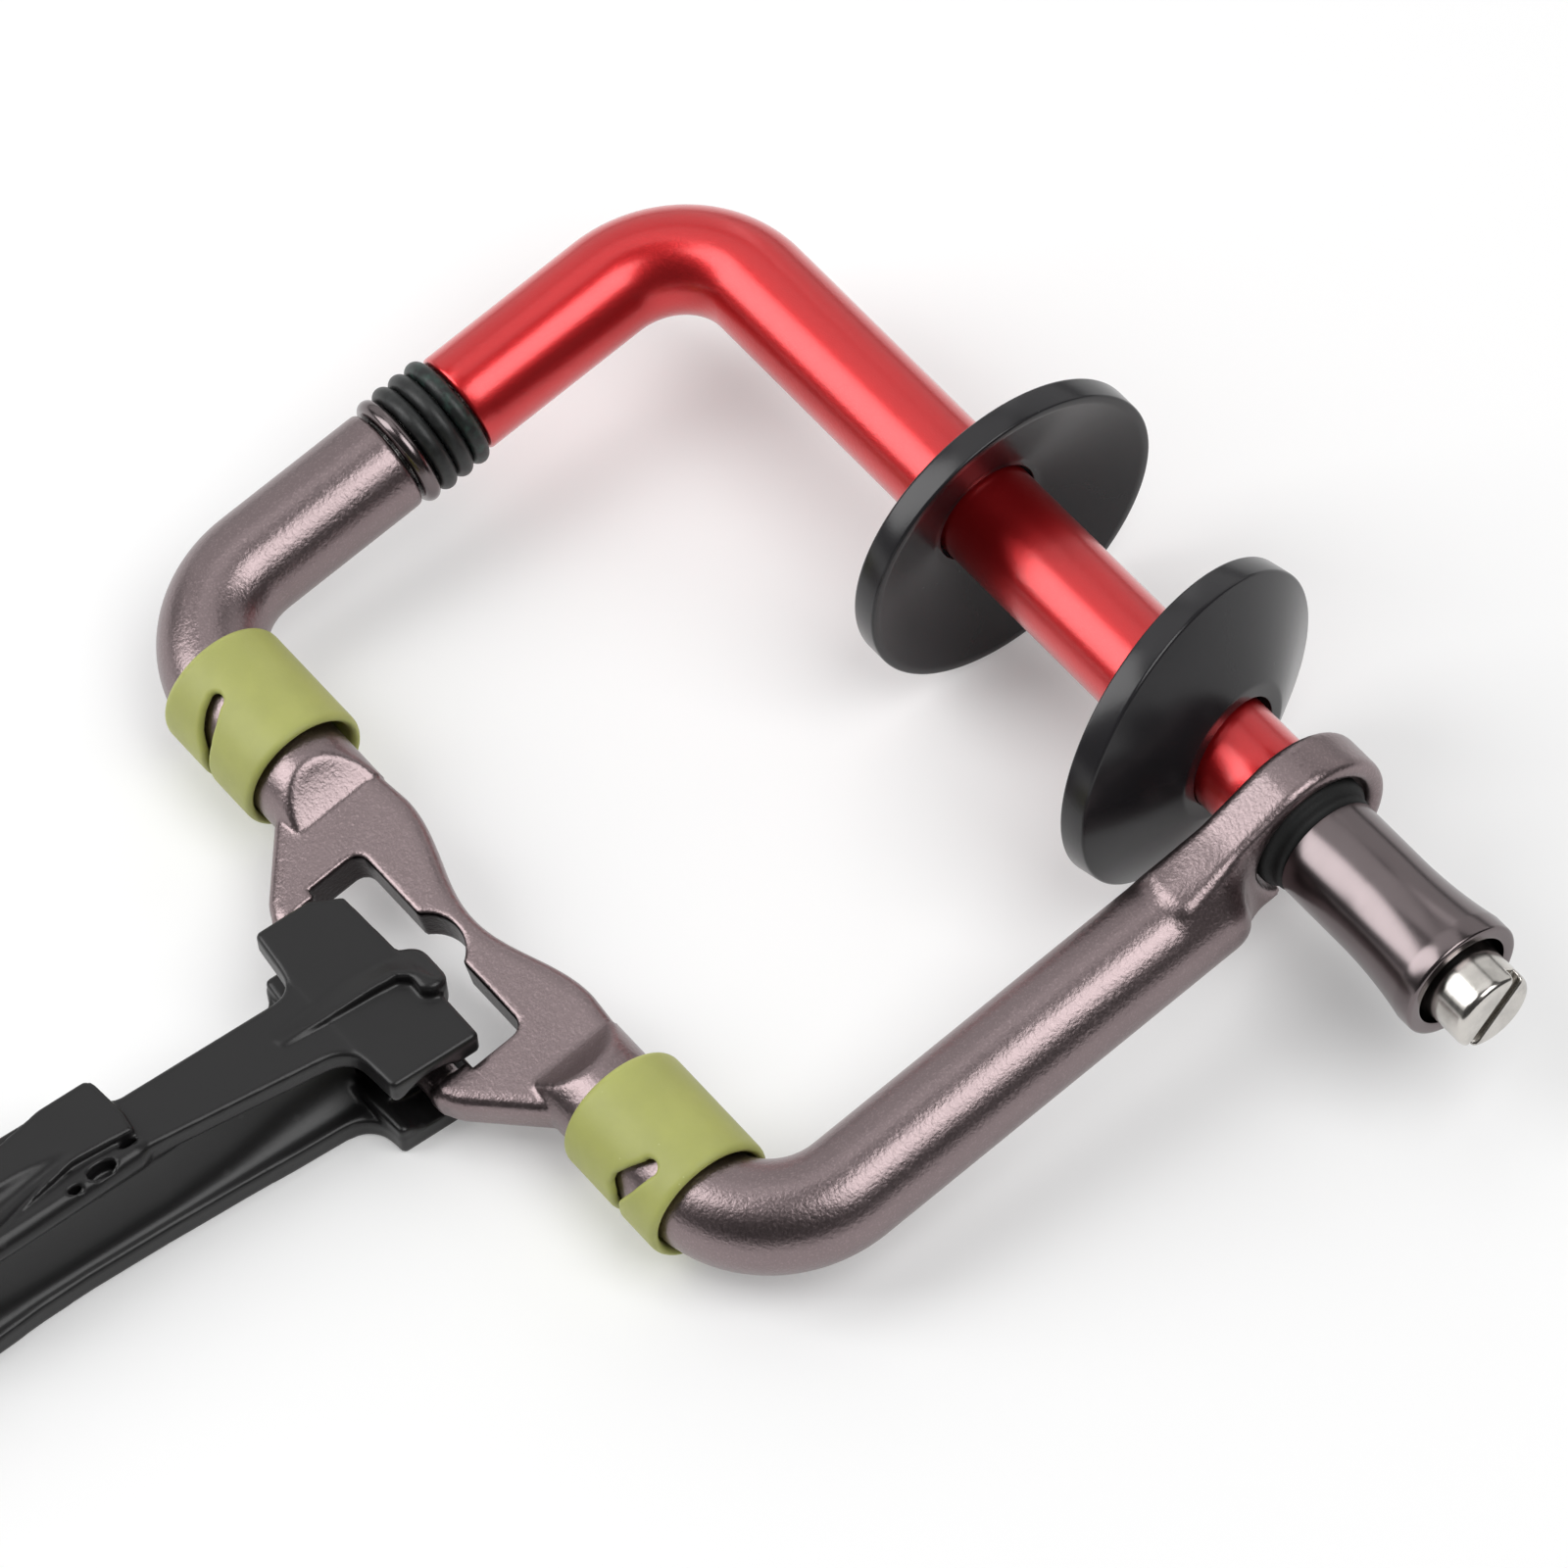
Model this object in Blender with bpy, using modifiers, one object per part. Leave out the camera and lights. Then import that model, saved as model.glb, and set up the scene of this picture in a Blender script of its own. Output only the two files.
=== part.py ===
"""Clip-on line spool holder: a C-shaped frame closed by a swing arm that carries the spool.

Metres, +Z up. The frame lies as it rests on a table, on the rims of its two cups and on the
flat underside of its bracket, so its plane leans by FRAME_LEAN about X.

Frame axes, used for every piece but the bracket: the origin is the corner where the swivel side
meets the flat side, x runs along the spool axis, y from the flat side to the spool axis and z is
the frame's normal. Bracket axes: u along the rim bar, v from the rim towards the frame, w up.
"""
import math

import bmesh
import bpy
from mathutils import Vector

MM = 0.001

# Frame: distance between the bar axes, the bar and its bends
SPAN_X = 103.0 * MM
SPAN_Y = 73.0 * MM
BAR_D = 12.0 * MM
BEND_R = 12.0 * MM
CLEAR = 0.3 * MM

# Swivel joint between the frame and the swing arm
STUB_Y = 30.6 * MM
COLLAR_W = 2.0 * MM
COLLAR_D = 13.2 * MM
RING_CORD = 2.1 * MM
RING_COUNT = 3
PIVOT_D = 8.6 * MM
PIVOT_DEPTH = 13.0 * MM
SNAP_WIRE = 1.0 * MM
SNAP_INSET = 3.0 * MM

# Flat of the frame, with its slot and the round rim bar that the bracket grips
PLATE_T = 5.2 * MM
PLATE_HALF = 20.2 * MM
PLATE_EDGE = 1.1 * MM
LOBE_X = 16.1 * MM
LOBE_Y = 6.1 * MM
WAIST_Y = 2.5 * MM
RIM_Y = 11.5 * MM
RIM_W = 6.0 * MM
RIM_BAR_D = 4.2 * MM
RIM_LOBE_X = 13.1 * MM
RIM_LOBE_R = 6.0 * MM
NECK_HALF = 24.6 * MM
SCOOP_LENGTH = 4.8 * MM
SCOOP_R = 22.0 * MM
SLOT_HALF = 14.3 * MM
SLOT_TOP = 1.7 * MM
SLOT_CORNER = 1.6 * MM
BULGE_HALF = 3.9 * MM
BULGE_RISE = 2.1 * MM

# Hook at the frame's end
HOOK_HOLE_D = 14.8 * MM
HOOK_WALL = 2.3 * MM
HOOK_T = 6.0 * MM
HOOK_INSET = 0.6 * MM
HOOK_MOUTH = 10.4 * MM
HOOK_EDGE = 0.9 * MM
HOOK_GAP = 0.6 * MM
SHOULDER = 10.4 * MM
SHOULDER_R = 3.0 * MM

# Lock: stud, nose, knob, spring, washer and screw
STUD_D = 7.4 * MM
STUD_DEPTH = 11.0 * MM
STUD_FIT = 0.2 * MM
STUD_NECK_D = 8.6 * MM
NOSE_D = 13.2 * MM
NOSE_LENGTH = 3.0 * MM
SPIGOT_D = 10.4 * MM
SPIGOT_LENGTH = 2.0 * MM
KNOB_D = 12.3 * MM
KNOB_LIP_D = 14.4 * MM
KNOB_LENGTH = 19.4 * MM
KNOB_LIP = 2.2 * MM
KNOB_WALL = 3.6 * MM
KNOB_BORE_D = 11.0 * MM
SPRING_WIRE = 1.0 * MM
SPRING_TURNS = 4
WASHER_T = 0.9 * MM
WASHER_SET_BACK = 4.4 * MM
SCREW_HEAD_D = 9.4 * MM
SCREW_HEAD = 8.4 * MM
SCREW_SHANK_D = 4.0 * MM
SCREW_SHANK = 8.0 * MM
SCREW_SLOT_W = 1.5 * MM
SCREW_SLOT_DEPTH = 1.6 * MM
SCREW_SLOT_TURN = math.radians(36.0)

# Cups on the swing arm
CUP_D = 37.8 * MM
CUP_RIM = 3.1 * MM
CUP_DEPTH = 7.6 * MM
CUP_WALL = 2.0 * MM
CUP_LIP = 0.9 * MM
CUP_HUB = 2.2 * MM
BUSH_BORE_D = 13.4 * MM
BUSH_WALL = 0.7 * MM
BUSH_FLANGE = 0.7 * MM
CUP_SPACING = 28.4 * MM
CUP_INSET = 15.1 * MM
CUP_RIGHT_LEAN = math.radians(12.0)
CUP_DROP = 0.18 * MM

# Line keepers on the flat side
KEEPER_D = 15.2 * MM
KEEPER_WALL = 0.9 * MM
KEEPER_LENGTH = 15.6 * MM
KEEPER_X = 16.5 * MM
KEEPER_SHIFT = 0.4 * MM
KEEPER_EDGE = 0.8 * MM
KEEPER_SLIT_LEFT = 1.2 * MM
KEEPER_SLIT_LEFT_AT = -1.0 * MM
KEEPER_SLIT_RIGHT = 2.2 * MM
KEEPER_SLIT_RIGHT_AT = 2.6 * MM
KEEPER_SLIT_TURN = math.radians(111.0)
KEEPER_HOLE_TURN = math.radians(31.0)

# Bracket: fork head, stem and rod saddle
HEAD_W = 25.4 * MM
HEAD_REACH = 5.4 * MM
FORK_PLAY = 0.35 * MM
FORK_TOP = 3.1 * MM
FORK_FOOT = 4.1 * MM
FORK_BACK = 3.0 * MM
FORK_WEB = 4.4 * MM
FORK_LIP = 1.0 * MM
STEM_LENGTH = 24.0 * MM
STEM_NEAR_HEAD = 6.4 * MM
STEM_NEAR_TAIL = 3.9 * MM
STEM_FAR = 3.2 * MM
STEM_WALL = 2.2 * MM
STEM_FLANGE = 2.8 * MM
WEB_T = 2.6 * MM
FOOT_W = 16.0 * MM
SADDLE_LENGTH = 66.0 * MM
SADDLE_FAR = 6.8 * MM
SADDLE_NEAR = 3.9 * MM
GROOVE_R = 4.8 * MM
GROOVE_U = 0.2 * MM
GROOVE_DIP = math.radians(4.8)
GROOVE_START = 7.4 * MM
STRAP_SLOT = 3.0 * MM
STRAP_SLOT_W = 7.0 * MM
RIDGE_R = 3.0 * MM
RIDGE_TAIL_R = 0.9 * MM
RIDGE_LENGTH = 16.0 * MM
RIDGE_U = 1.8 * MM
RIDGE_SET_BACK = 1.8 * MM
BRACKET_SKEW = math.radians(3.5)
BRACKET_EDGE = 0.4 * MM

# Sides of round pieces
ROUND = 40
CUP_ROUND = 64
BAR_ROUND = 28
BEND_STEPS = 8

# Sizes that follow from the ones above
BAR_R = BAR_D / 2
MID_X = SPAN_X / 2
RING_PITCH = RING_CORD + CLEAR / 2
ARM_Y = STUB_Y + CLEAR + COLLAR_W + RING_COUNT * RING_PITCH + CLEAR
PIVOT_LOW = STUB_Y - PIVOT_DEPTH
PIVOT_HIGH = ARM_Y + PIVOT_DEPTH
SNAP_Y = PIVOT_HIGH - SNAP_INSET
HOOK_BACK = SPAN_X - HOOK_INSET - HOOK_T / 2
HOOK_FRONT = HOOK_BACK + HOOK_T
ARM_END_X = HOOK_BACK - HOOK_GAP
CUP_RIGHT_X = ARM_END_X - CUP_INSET
CUP_LEFT_X = CUP_RIGHT_X - CUP_SPACING
NOSE_X = HOOK_FRONT + HOOK_GAP
KNOB_X = NOSE_X + NOSE_LENGTH + CLEAR
KNOB_END_X = KNOB_X + KNOB_LENGTH
WASHER_X = KNOB_END_X - WASHER_SET_BACK
STUD_END_X = WASHER_X - CLEAR
SCREW_X = WASHER_X + WASHER_T + CLEAR
FORK_HALF = PLATE_T / 2 + FORK_PLAY
HEAD_TOP = FORK_HALF + FORK_TOP
HEAD_UNDER = FORK_HALF + FORK_FOOT
FORK_DEPTH = RIM_BAR_D / 2 + FORK_WEB / 2 * math.sin(BRACKET_SKEW) + FORK_PLAY
HEAD_BACK = FORK_DEPTH + FORK_BACK
STEM_END = HEAD_BACK + STEM_LENGTH
SADDLE_END = STEM_END + SADDLE_LENGTH
CUP_LOW = CUP_D / 2 + CUP_DROP
FRAME_LEAN = math.asin((CUP_LOW - HEAD_UNDER) / (SPAN_Y + RIM_Y))


def remove_everything():
    for obj in list(bpy.data.objects):
        bpy.data.objects.remove(obj, do_unlink=True)
    for group in list(bpy.data.collections):
        bpy.data.collections.remove(group)


def new_collection(name):
    group = bpy.data.collections.new(name)
    bpy.context.scene.collection.children.link(group)
    return group


def linear(channel):
    """One 0 to 255 screen colour channel as a linear value."""
    c = channel / 255
    return c / 12.92 if c <= 0.04045 else ((c + 0.055) / 1.055) ** 2.4


def make_material(name, screen_colour, roughness, metallic):
    mat = bpy.data.materials.new(name)
    mat.use_nodes = True
    shader = mat.node_tree.nodes["Principled BSDF"]
    shader.inputs["Base Color"].default_value = [linear(c) for c in screen_colour] + [1.0]
    shader.inputs["Roughness"].default_value = roughness
    shader.inputs["Metallic"].default_value = metallic
    return mat


def new_empty(name, location, rotation):
    empty = bpy.data.objects.new(name, None)
    parts.objects.link(empty)
    empty.location = location
    empty.rotation_euler = rotation
    return empty


def place(obj, mat, parent, location, rotation):
    """Link a piece to the parts, or, with no material, a cutter to the cutters."""
    if mat is None:
        cutters.objects.link(obj)
        obj.hide_render = True
        obj.display_type = "WIRE"
    else:
        parts.objects.link(obj)
        obj.data.materials.append(mat)
    obj.parent = parent
    obj.location = location
    obj.rotation_euler = rotation
    return obj


# Rotations that lay a piece built along +Z, or an outline drawn in XY, along another axis
ALONG = {
    "x": (0, math.pi / 2, 0),
    "y": (-math.pi / 2, 0, 0),
}
OUTLINE_YZ = (math.pi / 2, 0, math.pi / 2)
OUTLINE_XZ = (math.pi / 2, 0, 0)
OUTLINE_XY = (0, 0, 0)


def turned(name, profile, mat, parent, location, axis="x", steps=ROUND, rotation=None):
    """Turn (radius, height) points, listed down the outer side and back up the inner one."""
    on_axis = [radius == 0 for radius, _ in profile]
    edges = [(i, i + 1) for i in range(len(profile) - 1)]
    if not any(on_axis):
        edges.append((len(profile) - 1, 0))
    mesh = bpy.data.meshes.new(name)
    mesh.from_pydata([(radius, 0, height) for radius, height in profile], edges, [])
    obj = bpy.data.objects.new(name, mesh)
    screw = obj.modifiers.new("turn", "SCREW")
    screw.axis = "Z"
    screw.steps = steps
    screw.render_steps = steps
    screw.use_merge_vertices = True
    screw.merge_threshold = 0.000001
    return place(obj, mat, parent, location, rotation or ALONG[axis])


def mesh_from_curve(name, curve):
    """A curve's solid as a welded mesh."""
    guide = bpy.data.objects.new(name, curve)
    cutters.objects.link(guide)
    evaluated = guide.evaluated_get(bpy.context.evaluated_depsgraph_get())
    mesh = bpy.data.meshes.new_from_object(evaluated)
    bpy.data.objects.remove(guide, do_unlink=True)
    mesh.name = name
    welded = bmesh.new()
    welded.from_mesh(mesh)
    bmesh.ops.remove_doubles(welded, verts=welded.verts, dist=0.000001)
    bmesh.ops.recalc_face_normals(welded, faces=welded.faces)
    welded.to_mesh(mesh)
    welded.free()
    mesh.materials.clear()
    return mesh


def add_spline(curve, points, cyclic, scales=None):
    spline = curve.splines.new("POLY")
    spline.points.add(len(points) - 1)
    for target, point in zip(spline.points, points):
        x, y, *z = point
        target.co = (x, y, z[0] if z else 0, 1)
    for target, scale in zip(spline.points, scales or []):
        target.radius = scale
    spline.use_cyclic_u = cyclic


def swept_bar(name, path, radius, mat, parent, sides=BAR_ROUND, scales=None):
    """A round bar along a path, with its radius scaled at each point where scales are given."""
    curve = bpy.data.curves.new(name, "CURVE")
    curve.dimensions = "3D"
    curve.bevel_depth = radius
    curve.bevel_resolution = (sides - 4) // 2
    curve.use_fill_caps = True
    add_spline(curve, path, False, scales)
    obj = bpy.data.objects.new(name, mesh_from_curve(name, curve))
    return place(obj, mat, parent, (0, 0, 0), (0, 0, 0))


def plate(name, outlines, thickness, edge, mat, parent, location, rotation):
    """A flat outline, with holes as further outlines, made thick with rounded edges."""
    curve = bpy.data.curves.new(name, "CURVE")
    curve.dimensions = "2D"
    curve.fill_mode = "BOTH"
    curve.extrude = thickness / 2 - edge
    curve.bevel_depth = edge
    curve.bevel_resolution = 1
    curve.offset = -edge
    for outline in outlines:
        add_spline(curve, outline, True)
    obj = bpy.data.objects.new(name, mesh_from_curve(name, curve))
    return place(obj, mat, parent, location, rotation)


def block(name, low, high, mat, parent, rotation=(0, 0, 0), location=(0, 0, 0), edge=0):
    """A box between two corners."""
    middle = (Vector(low) + Vector(high)) / 2
    size = Vector(high) - Vector(low)
    shape = bmesh.new()
    bmesh.ops.create_cube(shape, size=1)
    for vert in shape.verts:
        vert.co = Vector([c * s for c, s in zip(vert.co, size)]) + middle
    mesh = bpy.data.meshes.new(name)
    shape.to_mesh(mesh)
    shape.free()
    obj = bpy.data.objects.new(name, mesh)
    if edge:
        rounding = obj.modifiers.new("edges", "BEVEL")
        rounding.width = edge
        rounding.segments = 2
    return place(obj, mat, parent, location, rotation)


def rod(name, radius, start, end, mat, parent, location, axis="x", steps=ROUND):
    """A plain cylinder from start to end along an axis."""
    profile = [(0, end), (radius, end), (radius, start), (0, start)]
    return turned(name, profile, mat, parent, location, axis, steps)


def boolean(obj, other, operation):
    mod = obj.modifiers.new(other.name, "BOOLEAN")
    mod.operation = operation
    mod.solver = "EXACT"
    mod.object = other


def cut(obj, *others):
    for other in others:
        boolean(obj, other, "DIFFERENCE")


def join(obj, *others):
    for other in others:
        boolean(obj, other, "UNION")


def smooth(obj, angle=35.0):
    mesh = obj.data
    mesh.shade_smooth()
    mesh.set_sharp_from_angle(angle=math.radians(angle))


def arc(centre, radius, start, end, steps):
    """Points on an arc, with angles in degrees."""
    cx, cy = centre
    points = []
    for i in range(steps + 1):
        a = math.radians(start + (end - start) * i / steps)
        points.append((cx + radius * math.cos(a), cy + radius * math.sin(a)))
    return points


def mirrored(points):
    """A half outline at positive x and its mirror image, as one closed outline."""
    return points + [(-x, y) for x, y in reversed(points)]


def plate_outline():
    """Outer outline of the flat about its middle: waisted inside, round lobes and a rim outside."""
    steps = 10
    rise = LOBE_Y - WAIST_Y
    inner = []
    for i in range(1, steps + 1):
        t = i / steps
        inner.append((LOBE_X * t, WAIST_Y + rise * (1 - math.cos(math.pi * t)) / 2))
    neck = NECK_HALF + 1.5 * CLEAR
    lobe_y = -(RIM_Y + RIM_BAR_D / 2 - RIM_LOBE_R)
    inner.append((neck, BAR_R - 3 * CLEAR))
    inner.append((neck, -(BAR_R - 2 * CLEAR)))
    inner.append((NECK_HALF - CLEAR, -(BAR_R - CLEAR)))
    inner += arc((RIM_LOBE_X, lobe_y), RIM_LOBE_R, -48, -90, 5)
    return mirrored(inner)


def slot_outline():
    """Slot of the flat: straight ends, rounded corners, a bulge in the inner long side."""
    low = -(RIM_Y - RIM_W / 2)
    corner = (SLOT_HALF - SLOT_CORNER, -SLOT_TOP - SLOT_CORNER)
    radius = (BULGE_HALF ** 2 + BULGE_RISE ** 2) / (2 * BULGE_RISE)
    swing = math.degrees(math.asin(BULGE_HALF / radius))
    bulge = arc((0, -SLOT_TOP + BULGE_RISE - radius), radius, 90 - swing / 6, 90 - swing, 4)
    half = bulge + arc(corner, SLOT_CORNER, 90, 0, 4) + [(SLOT_HALF, low)]
    return mirrored(half)


def hook_outline():
    """Hook in the plane of y and z about its hole: an eye with an open underside."""
    inner = HOOK_HOLE_D / 2
    lip_r = HOOK_WALL / 2
    mouth = -math.degrees(math.acos(HOOK_MOUTH / HOOK_HOLE_D))
    lip = (math.cos(math.radians(mouth)) * (inner + lip_r),
           math.sin(math.radians(mouth)) * (inner + lip_r))
    low = CLEAR - BAR_R
    tip_y = -math.sqrt((inner + lip_r) ** 2 - (low + lip_r) ** 2)
    tip_turn = math.degrees(math.atan2(-low - lip_r, -tip_y))
    shank = -(SHOULDER + BAR_R)
    outline = [(shank, low)]
    outline += arc((tip_y, low + lip_r), lip_r, -90, tip_turn, 5)
    outline += arc((0, 0), inner, 180 + tip_turn, mouth, 22)[1:]
    outline += arc(lip, lip_r, mouth + 180, mouth + 360, 6)[1:]
    outline += arc((0, 0), inner + HOOK_WALL, mouth, 100, 14)[1:]
    outline += [(shank, BAR_R - CLEAR)]
    return outline


def corner_path(corner, before, after):
    """Points of one rounded corner of a bar in the frame's plane, from arm to arm."""
    corner, before, after = Vector(corner), Vector(before), Vector(after)
    centre = corner + BEND_R * (before + after)
    points = []
    for i in range(BEND_STEPS + 1):
        a = math.pi / 2 * i / BEND_STEPS
        points.append(centre - BEND_R * (math.cos(a) * after + math.sin(a) * before))
    return points


def scoop_cutters(name, crease_x, outward):
    """Two round cutters that hollow the bar's end down to the flat, above and below."""
    drop = BAR_R + CLEAR - PLATE_T / 2
    chord = math.hypot(SCOOP_LENGTH, drop)
    reach = math.sqrt(SCOOP_R ** 2 - chord ** 2 / 4)
    x = crease_x + outward * (SCOOP_LENGTH / 2 - reach * drop / chord)
    z = PLATE_T / 2 + drop / 2 + reach * SCOOP_LENGTH / chord
    tools = []
    for side, height in (("top", z), ("under", -z)):
        tools.append(rod(f"{name}_{side}", SCOOP_R, -BAR_D, BAR_D, None, frame_axes,
                         (x, 0, height), "y", CUP_ROUND))
    return tools


def make_main_frame():
    left_crease = MID_X - PLATE_HALF
    right_crease = MID_X + PLATE_HALF
    left_path = [Vector((0, STUB_Y, 0))]
    left_path += corner_path((0, 0, 0), (0, 1, 0), (1, 0, 0))
    left_path += [Vector((left_crease, 0, 0))]
    right_path = [Vector((right_crease, 0, 0))]
    right_path += corner_path((SPAN_X, 0, 0), (-1, 0, 0), (0, 1, 0))
    scales = [1] * len(right_path)
    for a in (0, 22, 45, 68, 90):
        drop = SHOULDER_R * (1 - math.sin(math.radians(a)))
        inset = SHOULDER_R * (1 - math.cos(math.radians(a)))
        right_path.append(Vector((SPAN_X, SPAN_Y - SHOULDER - drop, 0)))
        scales.append(1 - inset / BAR_R)

    frame = swept_bar("main_frame", left_path, BAR_R, gunmetal, frame_axes)
    cut(frame, *scoop_cutters("left_scoop", left_crease, -1))
    cut(frame, rod("pivot_hole", PIVOT_D / 2 + CLEAR, PIVOT_LOW - CLEAR, STUB_Y + BAR_R, None,
                   frame_axes, (0, 0, 0), "y"))

    right = swept_bar("right_side", right_path, BAR_R, None, frame_axes, scales=scales)
    cut(right, *scoop_cutters("right_scoop", right_crease, 1))

    flat = plate("flat", [plate_outline(), slot_outline()], PLATE_T, PLATE_EDGE, None,
                 frame_axes, (MID_X, 0, 0), OUTLINE_XY)
    notch_half = HEAD_W / 2 + HEAD_BACK * math.sin(BRACKET_SKEW) + CLEAR
    cut(flat, block("rim_notch", (-notch_half, -2 * RIM_Y, -PLATE_T),
                    (notch_half, -RIM_Y + RIM_W / 2 + PLATE_EDGE, PLATE_T), None, frame_axes,
                    location=(MID_X, 0, 0)))
    rim_bar = rod("rim_bar", RIM_BAR_D / 2, -SLOT_HALF, SLOT_HALF, None, frame_axes,
                  (MID_X, -RIM_Y, 0), "x", BAR_ROUND)

    hook = plate("hook", [hook_outline()], HOOK_T, HOOK_EDGE, None, frame_axes,
                 (HOOK_BACK + HOOK_T / 2, SPAN_Y, 0), OUTLINE_YZ)
    join(frame, flat, rim_bar, right, hook)
    smooth(frame)


def make_swing_arm():
    path = [Vector((0, ARM_Y, 0))]
    path += corner_path((0, SPAN_Y, 0), (0, -1, 0), (1, 0, 0))
    path += [Vector((ARM_END_X, SPAN_Y, 0))]
    arm = swept_bar("swing_arm", path, BAR_R, red_anodised, frame_axes)
    snap_r = PIVOT_D / 2 + SNAP_WIRE
    cut(arm, rod("arm_pivot_bore", PIVOT_D / 2 + CLEAR / 2, ARM_Y - BAR_R, PIVOT_HIGH + CLEAR,
                 None, frame_axes, (0, 0, 0), "y"))
    cut(arm, rod("snap_groove", snap_r, SNAP_Y - SNAP_WIRE, SNAP_Y + SNAP_WIRE, None,
                 frame_axes, (0, 0, 0), "y"))
    cut(arm, rod("stud_hole", STUD_D / 2 + CLEAR, ARM_END_X - STUD_DEPTH - CLEAR,
                 ARM_END_X + BAR_R, None, frame_axes, (0, SPAN_Y, 0), "x"))
    smooth(arm)


def make_swivel():
    """Pin, snap ring, bead and rubber rings of the swivel joint."""
    pin_r = PIVOT_D / 2
    groove_r = pin_r - SNAP_WIRE
    chamfer = SNAP_WIRE / 2
    pin = turned("pivot_pin", [
        (0, PIVOT_HIGH),
        (pin_r - chamfer, PIVOT_HIGH),
        (pin_r, PIVOT_HIGH - chamfer),
        (pin_r, SNAP_Y + SNAP_WIRE),
        (groove_r, SNAP_Y + SNAP_WIRE),
        (groove_r, SNAP_Y - SNAP_WIRE),
        (pin_r, SNAP_Y - SNAP_WIRE),
        (pin_r, PIVOT_LOW + chamfer),
        (pin_r - chamfer, PIVOT_LOW),
        (0, PIVOT_LOW),
    ], steel, frame_axes, (0, 0, 0), "y")
    smooth(pin)

    turns = 20
    radius = pin_r
    ends = math.radians(25.0)
    wire = []
    for i in range(turns + 1):
        a = ends + (2 * math.pi - 2 * ends) * i / turns
        wire.append((radius * math.cos(a), SNAP_Y, radius * math.sin(a)))
    smooth(swept_bar("pivot_snap_ring", wire, SNAP_WIRE / 2, steel, frame_axes, 8))

    low = STUB_Y + CLEAR
    bead = COLLAR_W / 2
    swell = COLLAR_D / 2 - bead
    profile = [(pin_r + CLEAR, COLLAR_W)]
    profile += [(swell + math.cos(math.radians(a)) * bead, bead + math.sin(math.radians(a)) * bead)
                for a in range(90, -91, -30)]
    profile += [(pin_r + CLEAR, 0)]
    smooth(turned("collar_ring", profile, steel, frame_axes, (0, low, 0), "y"))

    cord_r = RING_CORD / 2
    ring_r = pin_r + CLEAR + cord_r
    for i in range(RING_COUNT):
        centre = low + COLLAR_W + CLEAR / 2 + cord_r + i * RING_PITCH
        section = [(ring_r + cord_r * math.cos(math.radians(a)), cord_r * math.sin(math.radians(a)))
                   for a in range(90, -270, -36)]
        smooth(turned(f"o_ring_{i + 1}", section, black_rubber, frame_axes, (0, centre, 0), "y"))


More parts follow.
